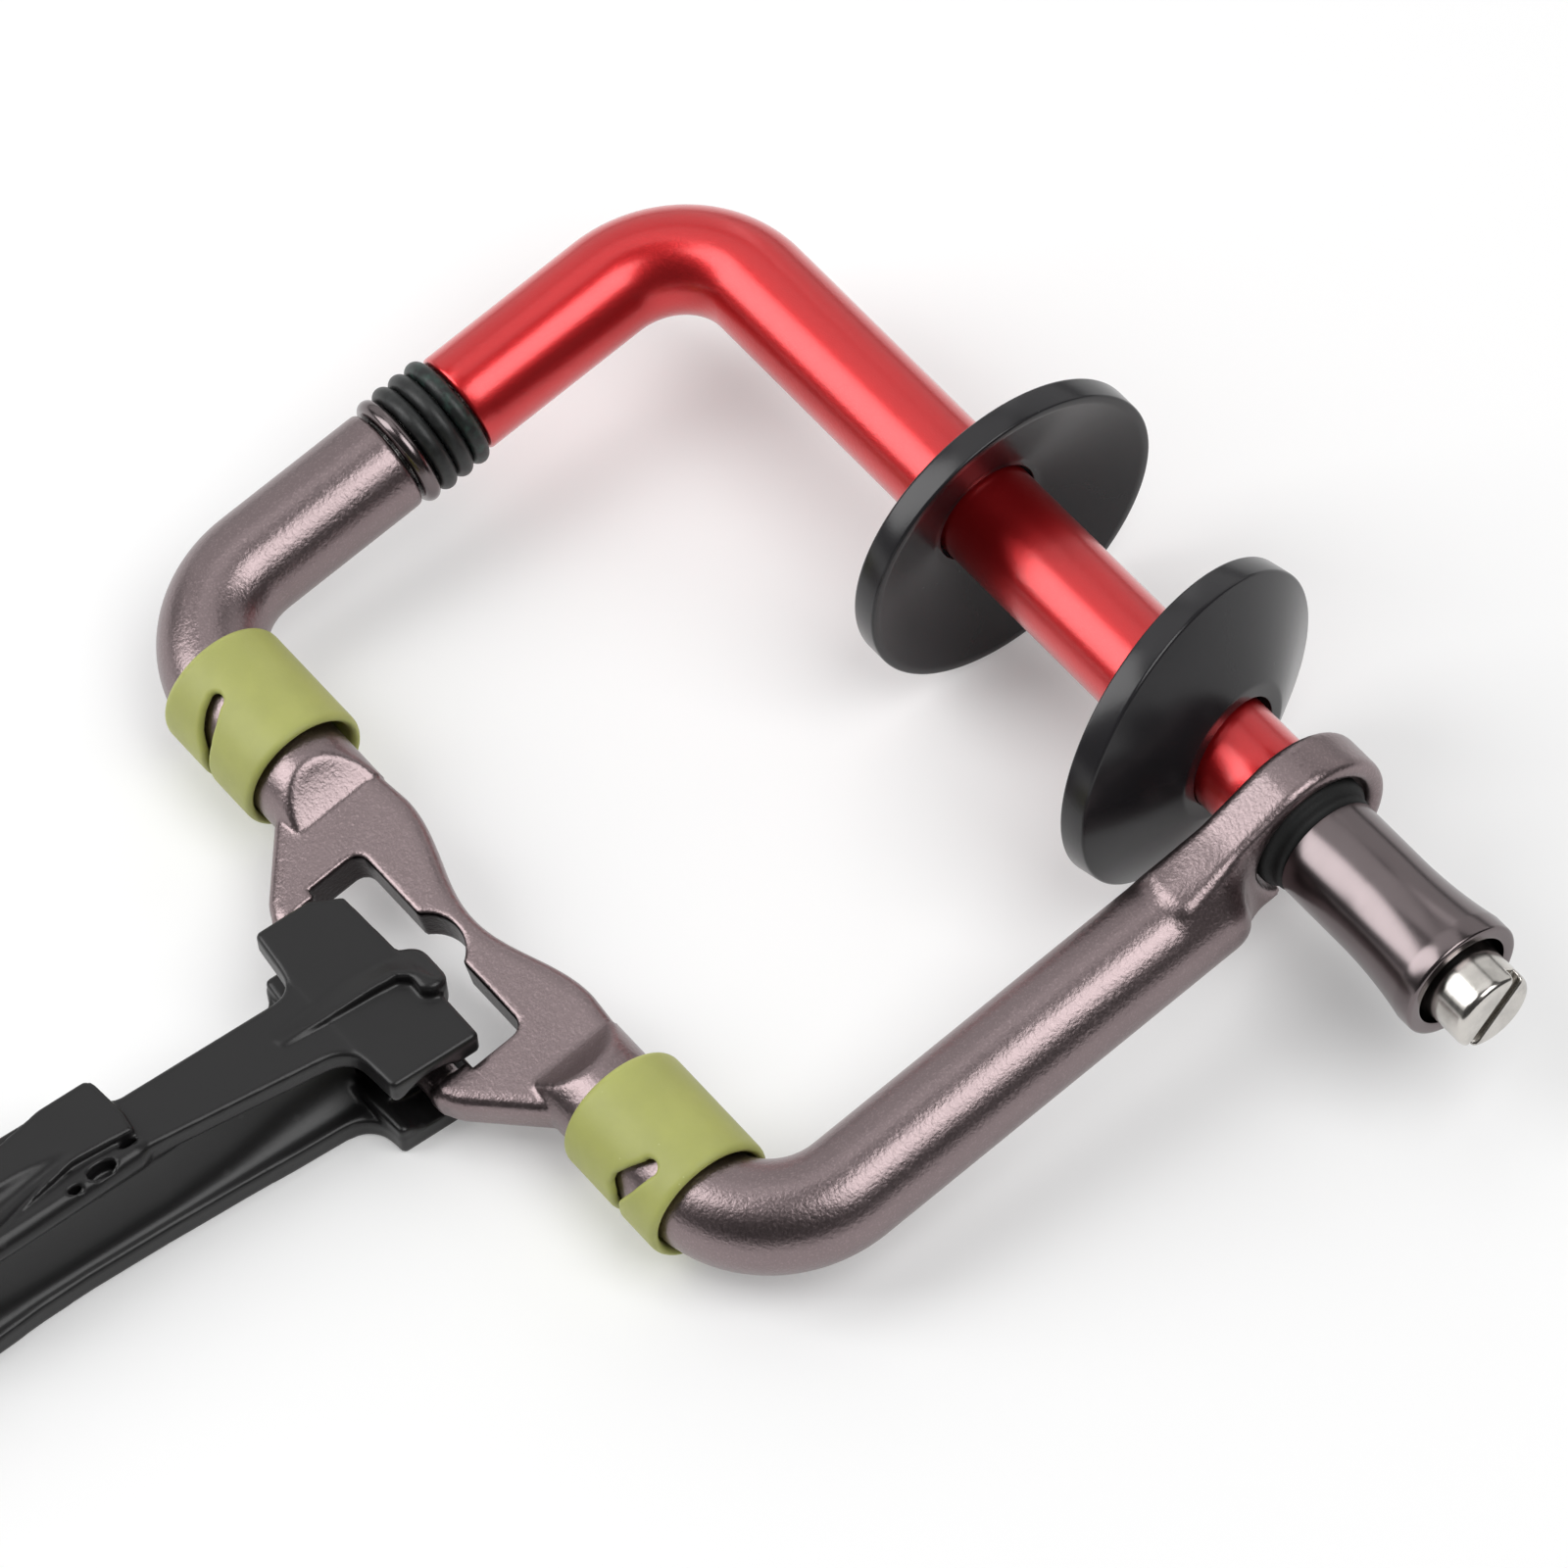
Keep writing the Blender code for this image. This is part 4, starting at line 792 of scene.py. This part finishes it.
def bracket_shape(s):
    """The moulded bracket: two jaws, a coved stem, and a saddle with a rod groove and a rib."""
    top, under = s.top / MM, -s.under / MM
    jaw, back, front = s.jaw / MM, -s.back / MM, s.front / MM
    end, groove = -s.end / MM, s.groove / MM
    pad = top + 1.0

    # Half widths of the stem's foot and of its wall, along v
    along = (end, -53.0, -46.5, -40.5, -29.5, -22.0, -15.0, -8.0)
    foot_u = (8.3, 8.3, 7.7, 7.5, 7.6, 7.8, 8.1, 8.3)
    wall_u = (3.9, 3.9, 3.9, 3.9, 3.8, 3.2, 2.2, 1.6)

    # Outlines of the head, of the ridge on it, of the top and of the saddle's block
    head_outline = [(-10.8, back - 0.4), (-10.9, 0.0), (-9.3, front - 2.6), (-1.3, front - 1.8),
                    (5.0, front - 1.1), (12.4, front - 0.7), (12.5, back + 0.7), (7.4, back + 0.1),
                    (-4.5, back - 0.7)]
    ridge_outline = [(0.9, -11.6), (1.35, -11.4), (1.55, -6.7), (1.7, -0.9), (1.95, 2.3), (3.3, 3.9)]
    ridge_outline += arc((4.9, front - 0.7), 0.9, -60, 90, 6)
    ridge_outline += arc((1.6, front - 1.4), 1.7, 90, 170, 6) + [(-0.3, -2.3)]
    far_side = [(-6.3, end), (-6.3, -58.0), (-5.2, -50.0), (-5.2, -42.0), (-6.3, -36.7),
                (-6.4, -31.1), (-5.8, -30.3)]
    top_outline = [(6.4, back + 1), (3.9, -29.6), (4.1, end)] + far_side
    top_outline += [(-3.3, -29.6), (-3.1, -28.6), (-3.2, back + 1)]
    block_outline = [(1.7, -29.9), (1.2, -37.4), (3.6, -47.6), (4.0, -58.0), (4.0, end)] + far_side
    block_outline += [(-0.6, -29.6)]

    # The ridge's near edge, far edge and rise, each as places along v and the values there
    crest = ((-12.4, -6.7, -0.9, 2.0, 4.1, 5.4), (2.15, 2.35, 2.5, 2.75, 4.1, 6.4))
    spine = ((-12.4, -2.4, 4.6), (0.1, -1.1, -0.3))
    rise = ((-12.4, -6.7, 2.0), (0.2, 0.8, 1.8))

    # The rod groove's place, radius and depth along v
    rod_v = (end, -58.0, -46.5, -42.0, -37.4, -35.0)
    rod_u = (0.3, 0.9, 1.2, 0.6, 0.4, 0.4)
    rod_r = (groove, groove - 0.3, 2.4, 1.7, 1.2, 1.2)
    rod_depth = (5.9, 3.6, 1.3, 0.75, 0.0, -0.8)

    # Flanges, the lips at the jaws' ends, the web between the jaws, and the rim bar's seat
    flange, head_round = 2.8, 0.6
    lip_half, lip_reach, lip_slant, lip_inset, lip_rise = 9.0, 3.1, 0.087, 0.25, 0.75
    web_low, web_high = (-2.2, back - 1, under + 1), (2.2, -2.6, top - 1)
    seat_v, seat_r, seat_half = -1.0, 4.6, 9.0

    # The stem: its box, the cove, the hollow on the far side and the leaning far face
    stem_low, stem_high = (-8.5, end, under + 0.2), (8.5, back + 0.6, top - 0.8)
    cove_top, cove_inset = top - 1.0, 0.1
    hollow_u, hollow_v = -1.4, -30.2
    face_u, face_across, face_down = -6.9, 0.985, 0.09

    # The saddle: half the block's height, the rib, the strap slots and the pits
    block_half, pit_depth = 1.5, 1.6
    rib_path, rib_drop, rib_r = ((2.9, -31.2), (3.3, -38.5), (4.0, -56.0)), 1.3, 1.7
    strap_reach, strap_half, strap_low, strap_high = 20, 3.5, 4.5, 1.5
    straps = ((-59.3, 3.56), (-85.7, 1.34))
    pits = ((2.3, -31.2, 0.45, 1.0), (3.4, -35.1, 0.8, 1.7), (3.8, -38.6, 0.4, 0.8))
    ridge_round, ridge_foot = 0.8, jaw + 0.3

    # The last number of each soft_min and soft_max is the fillet or rounded edge there
    def shape(u, v, w):
        head = outline(u, v, head_outline) - head_round
        plan = soft_min(head, outline(u, v, top_outline), 3.4)
        solid = soft_max(plan, np.abs(w - top + flange / 2) - flange / 2, 0.7)

        foot = np.interp(v, along, foot_u)
        sole = soft_max(np.abs(u) - foot, v - back - 1, 0.5)
        plan = soft_min(head, sole, 4.0)
        low = soft_max(plan, np.abs(w - under - flange / 2) - flange / 2, 0.6)
        lower_jaw = soft_max(head, np.abs(w - (under - jaw) / 2) + (under + jaw) / 2, 0.6)
        upper_jaw = soft_max(head, np.abs(w - (top + jaw) / 2) - (top - jaw) / 2, 0.7)
        lip = np.maximum(np.abs(u) - lip_half, front - lip_reach + lip_slant * u - v)
        lip = np.maximum(lip, np.abs(np.abs(w) - jaw + lip_inset) - lip_rise)
        jaws = np.minimum(np.minimum(lower_jaw, upper_jaw), soft_max(head, lip, 0.4))
        jaws = soft_min(jaws, box(u, v, w, web_low, web_high, 0.3), 0.4)

        body = box(u, v, w, stem_low, stem_high, 0.2)
        height = cove_top - under - flange
        reach = foot - cove_inset - np.interp(v, along, wall_u)
        cove = np.hypot((u - foot + cove_inset) / reach, (w - cove_top) / height)
        body = soft_max(body, (1 - cove) * np.minimum(reach, height), 0.4)
        body = soft_max(body, u - foot + cove_inset, 0.3)
        hollow = soft_max(u - hollow_u, hollow_v - v, 1.0)
        body = soft_max(body, -hollow, 0.6)
        body = soft_max(body, (face_u - u) * face_across - (top - w) * face_down, 0.6)
        solid = soft_min(soft_min(solid, body, 0.5), soft_min(low, jaws, 0.3), 0.4)
        seat = np.maximum(np.hypot(v - seat_v, w) - seat_r, seat_half - np.abs(u))
        solid = soft_max(solid, -seat, 0.3)

        plan = outline(u, v, block_outline)
        block = soft_max(plan, np.abs(w - pad + block_half) - block_half, 0.5)
        rib = np.minimum(segment(u, v, *rib_path[:2]), segment(u, v, *rib_path[1:]))
        rib = np.hypot(rib, w - top + rib_drop) - rib_r
        solid = soft_min(soft_min(solid, rib, 0.8), block, 0.2)
        radius = np.interp(v, rod_v, rod_r)
        bottom = pad - np.interp(v, rod_v, rod_depth)
        rod = np.hypot(u - np.interp(v, rod_v, rod_u), w - bottom - radius) - radius
        solid = soft_max(solid, -rod, 0.45)
        for middle, floor in straps:
            strap = box(u, v, w, (-strap_reach, middle - strap_half, floor - strap_low),
                        (strap_reach, middle + strap_half, floor - strap_high), 0.6)
            solid = soft_max(solid, -strap, 0.4)
        for at_u, at_v, wide, long in pits:
            pit = np.hypot((u - at_u) / wide, (v - at_v) / long) - 1
            solid = soft_max(solid, -np.maximum(pit * wide, top - pit_depth - w), 0.25)

        near, far = np.interp(v, *crest), np.interp(v, *spine)
        height = np.interp(v, *rise) * np.clip((u - far) / (near - far), 0, 1)
        ridge = soft_max(outline(u, v, ridge_outline) - ridge_round, w - top - height, 0.8)
        ridge = soft_max(ridge, ridge_foot - w, 0.5)
        solid = soft_min(solid, ridge, 0.35)
        return np.maximum(np.maximum(solid, under - w), end - v)

    return shape


def screw_shape(head_r, start, end):
    """A slotted head on a shank along x."""
    head_half, shank_r, shank_in = 4.2, 2.0, 4
    slot_half, slot_depth, slot_turn = 0.75, 1.6, math.radians(36)

    def shape(x, y, z):
        out = np.hypot(y, z)
        head = soft_max(out - head_r, np.abs(x - end + head_half) - head_half, 0.9)
        shank = soft_max(out - shank_r, np.maximum(x - end + shank_in, start - x), 0.3)
        side = z * math.cos(slot_turn) - y * math.sin(slot_turn)
        slot = np.maximum(np.abs(side) - slot_half, end - slot_depth - x)
        return soft_max(soft_min(head, shank, 0.2), -slot, 0.18)

    return shape


class HOLDER_OT_frame(Operator):
    """Forged gunmetal frame with its flat and hook"""
    bl_idname = "holder.frame"
    bl_label = "Forged frame"

    def execute(self, context):
        s, colours = context.scene.holder_frame, context.scene.holder_colours
        radius, cell = s.bar / MM / 2, s.cell / MM
        rim_room, hook_room = 14.0, 9.8
        # The start is set so that a row of points falls on the crease between bar and flat
        crease = (s.span_x / 2 - s.flat_half) / MM
        start = crease - cell * math.ceil((crease + radius) / cell)
        low = (start, -rim_room, -hook_room)
        high = (s.span_x / MM + radius, s.span_y / MM + hook_room, hook_room)
        add_piece("forged_frame", net(frame_shape(s), low, high, cell), FRAME_AXES,
                  forged_gunmetal(colours.gunmetal), "frame", ["main_frame"])
        return {"FINISHED"}


class HOLDER_OT_arm(Operator):
    """Red anodised swing arm with bored ends"""
    bl_idname = "holder.arm"
    bl_label = "Swing arm"

    def execute(self, context):
        s, colours = context.scene.holder_frame, context.scene.holder_colours
        span_y, radius, curve = s.span_y / MM, s.bar / MM / 2, s.bend / MM
        hook_gap, edge, bevel = 4.2, 0.45, 0.2
        foot, tip = s.arm_foot / MM, s.span_x / MM - hook_gap
        up, along = Vector((0, 1, 0)), Vector((1, 0, 0))

        def bored(bore, depth):
            """Distances from an end and radii, from its bore's floor to the rounded edge."""
            return [(depth, 0), (depth, bore), (bevel, bore), (0, bore + bevel), (0, radius - edge),
                    (0.08, radius - 0.2), (edge * 0.5, radius - 0.07)]

        pin_bore, stud_bore = bored(4.45, 13.2), bored(4.0, 11.3)
        stations = [(Vector((0, foot + t, 0)), up, r) for t, r in pin_bore + [(edge, radius)]]
        stations += [(Vector((0, y, 0)), up, radius)
                     for y in np.linspace(foot + 2, span_y - curve, 16)]
        for a in np.linspace(0, math.pi / 2, 49)[1:]:
            centre = Vector((curve - curve * math.cos(a), span_y - curve + curve * math.sin(a), 0))
            stations.append((centre, Vector((math.sin(a), math.cos(a), 0)), radius))
        stations += [(Vector((x, span_y, 0)), along, radius)
                     for x in np.linspace(curve, tip - edge, 40)[1:]]
        stations += [(Vector((tip - t, span_y, 0)), along, r) for t, r in reversed(stud_bore)]
        add_piece("red_swing_arm", sweep(stations, 96), FRAME_AXES, red_anodised(colours.red),
                  "arm", ["swing_arm"], 40)
        return {"FINISHED"}


class HOLDER_OT_swivel(Operator):
    """Bead, rubber rings, pin and snap ring of the swivel"""
    bl_idname = "holder.swivel"
    bl_label = "Swivel"

    def execute(self, context):
        s, colours = context.scene.holder_small, context.scene.holder_colours
        gap, hole = 0.3, 4.6
        low = context.scene.holder_frame.stub / MM + gap
        bead_r, bead_height = 5.6, 2.0
        bead = arc((bead_r, bead_height / 2), bead_height / 2, 90, -90, 23)
        bead = eased([(hole, bead_height)] + bead + [(hole, 0.0)], 0.1)
        add_piece("swivel_bead", lathe(bead, 96), on_axis(0, low, 0, ALONG_Y),
                  turned_gunmetal(colours.turned), "frame", ["collar_ring"])
        cord, first, pitch = s.ring / MM / 2, 2.15, 2.25
        section = arc((hole + cord, 0), cord, 0, -360, 32)[:-1]
        for i in range(3):
            centre = low + first + cord + i * pitch
            # The last ring's bloom pattern carries a painted greenish highlight; the other rings
            # take a paler rubber
            bloom_and_highlight = PAINTED_RING_HIGHLIGHT if i == 2 else tone(colours.rubber, 1.8)
            rubber = black_rubber(colours.rubber, f"black_rubber_{i + 1}", bloom_and_highlight)
            add_piece(f"rubber_ring_{i + 1}", lathe(section, 96), on_axis(0, centre, 0, ALONG_Y),
                      rubber, "frame", [f"o_ring_{i + 1}"])
        steel = bare_metal(colours.steel, "drawn_steel", 0.22)
        for name in ("pivot_pin", "pivot_snap_ring"):
            finish_node(name, steel)
        return {"FINISHED"}


class HOLDER_OT_lock(Operator):
    """Pull knob, nose, stud, cap screw, spring and washer of the lock"""
    bl_idname = "holder.lock"
    bl_label = "Lock"

    def execute(self, context):
        s, colours = context.scene.holder_small, context.scene.holder_colours
        span_y = context.scene.holder_frame.span_y / MM
        axes = on_axis(0, span_y, 0, ALONG_X)
        neck, lip = s.knob / MM / 2, s.knob_lip / MM / 2
        start, end = 107.2, 128.7
        bore, socket, stud_hole = 5.5, 5.9, 3.9
        floor_low, floor_high = start + 3.6, start + 5.2
        flare_start, flare_length = end - 12.9, 10.7
        flare = [(neck + (lip - neck) * t ** 2, flare_start + flare_length * t)
                 for t in np.linspace(1, 0, 24)]
        # The corners where the three stretches meet, of five points each, are left out
        corner = 5
        mouth = eased([(bore, end), (lip, end), flare[0]], 0.45)[:-corner]
        tail = eased([(neck, start + 4), (neck, start), (socket, start), (socket, floor_low),
                      (stud_hole, floor_low), (stud_hole, floor_high), (bore, floor_high),
                      (bore, end - 1)], 0.4)[corner:-corner]
        add_piece("pull_knob", lathe(mouth + flare + tail, 128), axes,
                  turned_gunmetal(colours.turned), "knob", ["lock_knob"], 45)

        # The nose is a real part; it is painted near black and matt and reaches into the hook's eye,
        # so that the eye reads as painted shade
        nose = [(3.9, 110.5), (5.2, 110.5), (5.2, 108.8), (5.7, 107.2), (6.3, 106.7), (6.3, 105.7),
                (7.0, 105.0), (7.0, 101.6), (4.7, 101.6), (4.7, 106.0), (3.9, 106.0)]
        nose_shade_finish = black_rubber(tone(colours.rubber, 0.5), "nose_painted_shade", tone(colours.rubber, 0.6),
                               0.6)
        add_piece("painted_shade_nose", lathe(eased(nose, 0.4), 96), axes, nose_shade_finish, "knob",
                  ["knob_nose"], 45)

        head_r, shank_start, head_end, cell = s.screw / MM / 2, 116.3, 133.9, 0.17
        screw = net(screw_shape(head_r, shank_start, head_end), (shank_start, -head_r, -head_r),
                    (head_end, head_r, head_r), cell)
        add_piece("slotted_cap_screw", screw, FRAME_AXES @ Matrix.Translation((0, span_y * MM, 0)),
                  bare_metal(colours.nickel, "bright_nickel", 0.14), "arm", ["cap_screw"])
        # Painted shade: the stud is painted near black so that the hook's eye reads dark round it
        finish_node("lock_stud", bare_metal(colours.black, "black_steel", 0.3))

        # The spring's end at the washer stays, and the knob closes the spring up from the other
        coil_r, wire, coil_start, coil_end, turns = 4.6, 0.5, 113.7, 123.5, 4
        steel = bare_metal(colours.steel, "spring_steel", 0.22)
        finish_node("spring_washer", steel)
        spring = add_piece("return_spring", coil(coil_r, wire, coil_start, coil_end, turns), axes,
                           steel, "arm", ["knob_spring"], 45)
        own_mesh(spring)
        return {"FINISHED"}


class HOLDER_OT_cups(Operator):
    """Two dished black cups and their bushes"""
    bl_idname = "holder.cups"
    bl_label = "Spool cups"

    def execute(self, context):
        s, colours = context.scene.holder_small, context.scene.holder_colours
        span_y = context.scene.holder_frame.span_y / MM
        plastic = cup_plastic(colours.cup)
        # Painted shade: the bushes, real parts, are near-black matt rubber so that the gap round the
        # tube reads as shade
        bush = black_rubber(tone(colours.rubber, 0.5), "bush_painted_shade", tone(colours.rubber, 0.6), 0.7)
        outer, rim, depth = s.cup / MM / 2, s.cup_rim / MM, s.cup_depth / MM
        # Heights along a cup's axis, where rim_z is the open rim's, and radii about the bush
        rim_z = depth - 1.1
        back_z = rim_z - depth
        lip_back, lip_front, seat = back_z - 0.35, back_z - 0.05, back_z + 2.2
        floor, dish, cone = rim_z - 4.45, rim_z - 4.1, rim_z - 4.0
        boss, hole, bush_r, recess, cone_r, rim_wall = 8.2, 6.5, 7.7, 8.4, 7.2, 0.9
        for name, rim_x, opens, lean, mouth in (
                ("left", s.cup_left, 1, 0.0, 6.35),
                ("right", s.cup_right, -1, math.radians(12.0), 6.7)):
            profile = [(outer, rim_z), (outer, rim_z - rim), (boss, lip_back), (hole, lip_back),
                       (hole, lip_front), (bush_r, lip_front), (bush_r, seat), (recess, seat),
                       (recess, floor), (mouth, floor), (mouth, dish), (cone_r, cone),
                       (outer - rim_wall, rim_z)]
            axes = on_axis(rim_x / MM - opens * rim_z, span_y, 0,
                           Euler((0, math.pi / 2 * opens, lean)))
            add_piece(f"spool_cup_{name}", lathe(eased(profile, 0.3), 160), axes, plastic,
                      f"{name}_cup", [f"cup_{name}"], 30)
            finish_node(f"cup_{name}_bush", bush)
        return {"FINISHED"}


class HOLDER_OT_keepers(Operator):
    """Two green silicone sleeves that hold the line's end"""
    bl_idname = "holder.keepers"
    bl_label = "Line keepers"

    def execute(self, context):
        s = context.scene.holder_small
        span_x, inset = context.scene.holder_frame.span_x / MM, s.keeper_inset / MM
        half, near, far, side, cell = 7.9, -7.3, 8.1, 7.7, 0.22
        silicone = green_silicone(context.scene.holder_colours.green)
        # Each slit as its turn about the bar in degrees, its shift along the bar and its width
        left = [(114.0, -2.0, 1.8), (128.0, -1.4, 2.2), (146.0, -0.7, 1.9), (162.0, 0.0, 0.8),
                (280.0, 0.4, 0.6)]
        right = [(117.0, 3.4, 1.9), (130.0, 2.6, 2.4), (145.0, 1.7, 2.8), (156.0, 1.3, 2.2),
                 (168.0, 1.2, 0.9), (280.0, 0.4, 0.7)]
        for name, centre, path, hole in (("left", inset, left, 1.8),
                                         ("right", span_x - inset, right, 1.9)):
            low, high = (centre - half, near, -side), (centre + half, far, side)
            sleeve = net(keeper_shape(s, centre, path, hole), low, high, cell)
            add_piece(f"line_keeper_{name}", sleeve, FRAME_AXES, silicone, f"{name}_keeper",
                      [f"keeper_{name}"])
        return {"FINISHED"}


class HOLDER_OT_bracket(Operator):
    """Glossy black bracket arm with its fork and rod saddle"""
    bl_idname = "holder.bracket"
    bl_label = "Rod bracket"

    def execute(self, context):
        s, colours = context.scene.holder_bracket, context.scene.holder_colours
        half, ridge_room = s.head / MM / 2, 1.6
        low = (-half, -s.end / MM, -s.under / MM)
        high = (half, s.front / MM + ridge_room, s.top / MM + ridge_room)
        add_piece("rod_bracket", net(bracket_shape(s), low, high, s.cell / MM), BRACKET_AXES,
                  gloss_plastic(colours.bracket), "bracket", ["bracket_arm"])
        return {"FINISHED"}


class HOLDER_OT_stage(Operator):
    """Pale floor, soft boxes and the camera"""
    bl_idname = "holder.stage"
    bl_label = "Stage"

    def execute(self, context):
        scene = context.scene
        s = scene.holder_stage
        scene.view_settings.view_transform = "Standard"
        self.lay_floor(scene, s)
        self.light_room(scene, s)
        levels = {"key_box": s.key, "top_box": s.top, "roof_panel": s.roof,
                  "left_panel": s.fill, "back_panel": s.fill}
        for name, *place in SOFT_BOXES:
            self.soft_box(scene, name, levels[name], *place)
        self.set_camera(scene)
        return {"FINISHED"}

    def lay_floor(self, scene, s):
        """A wide disc in rings, whitened for the camera but keeping the shadow."""
        points, faces = lathe([(0, 0)] + [(radius, 0) for radius in FLOOR_RINGS], 64)
        mesh = bpy.data.meshes.new("studio_floor")
        mesh.from_pydata(points, [], [face[::-1] for face in faces])
        floor = bpy.data.objects.new("studio_floor", mesh)
        floor.location.z = -FLOOR_DROP
        scene.collection.objects.link(floor)
        f = Finish("studio_floor")
        seen = self.seen(f)
        paint = f.add("ShaderNodeBsdfDiffuse", {}, {"Color": tone(s.floor, 1.0)})
        white = f.add("ShaderNodeEmission", {}, {"Color": (1, 1, 1, 1), "Strength": 1.0})
        both = f.add("ShaderNodeMixShader", {}, {0: seen * FLOOR_GLOW, 1: paint, 2: white})
        f.add("ShaderNodeOutputMaterial", {}, {"Surface": both})
        mesh.materials.append(f.material)

    def seen(self, tree):
        """1 for rays from the camera and for those that metal and clear parts reflect or pass."""
        rays = [tree.add("ShaderNodeLightPath", {}, {}, name)
                for name in ("Is Camera Ray", "Is Glossy Ray", "Is Transmission Ray")]
        return 1 - (1 - rays[0]) * (1 - rays[1]) * (1 - rays[2])

    def light_room(self, scene, s):
        """A faint even light from all sides."""
        world = bpy.data.worlds.new("studio_room")
        world.use_nodes = True
        room = Tree(world.node_tree)
        light = room.add("ShaderNodeBackground", {},
                         {"Color": (1.0, 0.99, 0.98, 1.0), "Strength": s.world})
        room.add("ShaderNodeOutputWorld", {}, {"Surface": light})
        scene.world = world

    def soft_box(self, scene, name, strength, direction, distance, width, height):
        """A rectangular lamp that faces the part and looks level bright in reflections."""
        lamp = bpy.data.lights.new(name, "AREA")
        lamp.shape = "RECTANGLE"
        lamp.size = width
        lamp.size_y = height
        lamp.energy = strength * math.pi * width * height
        box_object = bpy.data.objects.new(name, lamp)
        toward = Vector(direction).normalized()
        box_object.location = toward * distance
        box_object.rotation_euler = toward.to_track_quat("Z", "Y").to_euler()
        scene.collection.objects.link(box_object)

    def set_camera(self, scene):
        """The photograph's view."""
        lens = bpy.data.cameras.new("photo_camera")
        lens.lens = CAMERA_LENS
        lens.sensor_width = CAMERA_SENSOR
        lens.sensor_fit = "HORIZONTAL"
        lens.clip_end = 30.0
        camera = bpy.data.objects.new("photo_camera", lens)
        turn = Matrix((CAMERA_RIGHT, CAMERA_UP, CAMERA_BACK)).transposed().to_4x4()
        camera.matrix_world = Matrix.Translation(CAMERA_AT) @ turn
        scene.collection.objects.link(camera)
        scene.camera = camera


PIECES = (HOLDER_OT_frame, HOLDER_OT_arm, HOLDER_OT_swivel, HOLDER_OT_lock, HOLDER_OT_cups,
          HOLDER_OT_keepers, HOLDER_OT_bracket, HOLDER_OT_stage)
SETTINGS = {
    "holder_frame": FrameSizes,
    "holder_small": SmallSizes,
    "holder_bracket": BracketSizes,
    "holder_colours": HolderColours,
    "holder_stage": StageSettings,
}


class HOLDER_PT_panel(Panel):
    """Pieces of the holder, and the sizes and colours they use"""
    bl_idname = "HOLDER_PT_panel"
    bl_label = "Spool holder"
    bl_space_type = "VIEW_3D"
    bl_region_type = "UI"
    bl_category = "Spool holder"

    def draw(self, context):
        """A button for each piece, then the settings."""
        for piece in PIECES:
            self.layout.operator(piece.bl_idname)
        for name, group in SETTINGS.items():
            column = self.layout.column()
            column.label(text=group.__doc__)
            for size in group.__annotations__:
                column.prop(getattr(context.scene, name), size)


CLASSES = tuple(SETTINGS.values()) + PIECES + (HOLDER_PT_panel,)


def register():
    """Make the settings, the operators and the panel known."""
    for cls in CLASSES:
        bpy.utils.register_class(cls)
    for name, group in SETTINGS.items():
        setattr(bpy.types.Scene, name, PointerProperty(type=group))


def unregister():
    """Take them away again."""
    for name in SETTINGS:
        delattr(bpy.types.Scene, name)
    for cls in reversed(CLASSES):
        bpy.utils.unregister_class(cls)


def main():
    """Register the settings, then build every piece and the stage."""
    register()
    for piece in PIECES:
        group, name = piece.bl_idname.split(".")
        getattr(getattr(bpy.ops, group), name)()


if __name__ == "__main__":
    main()
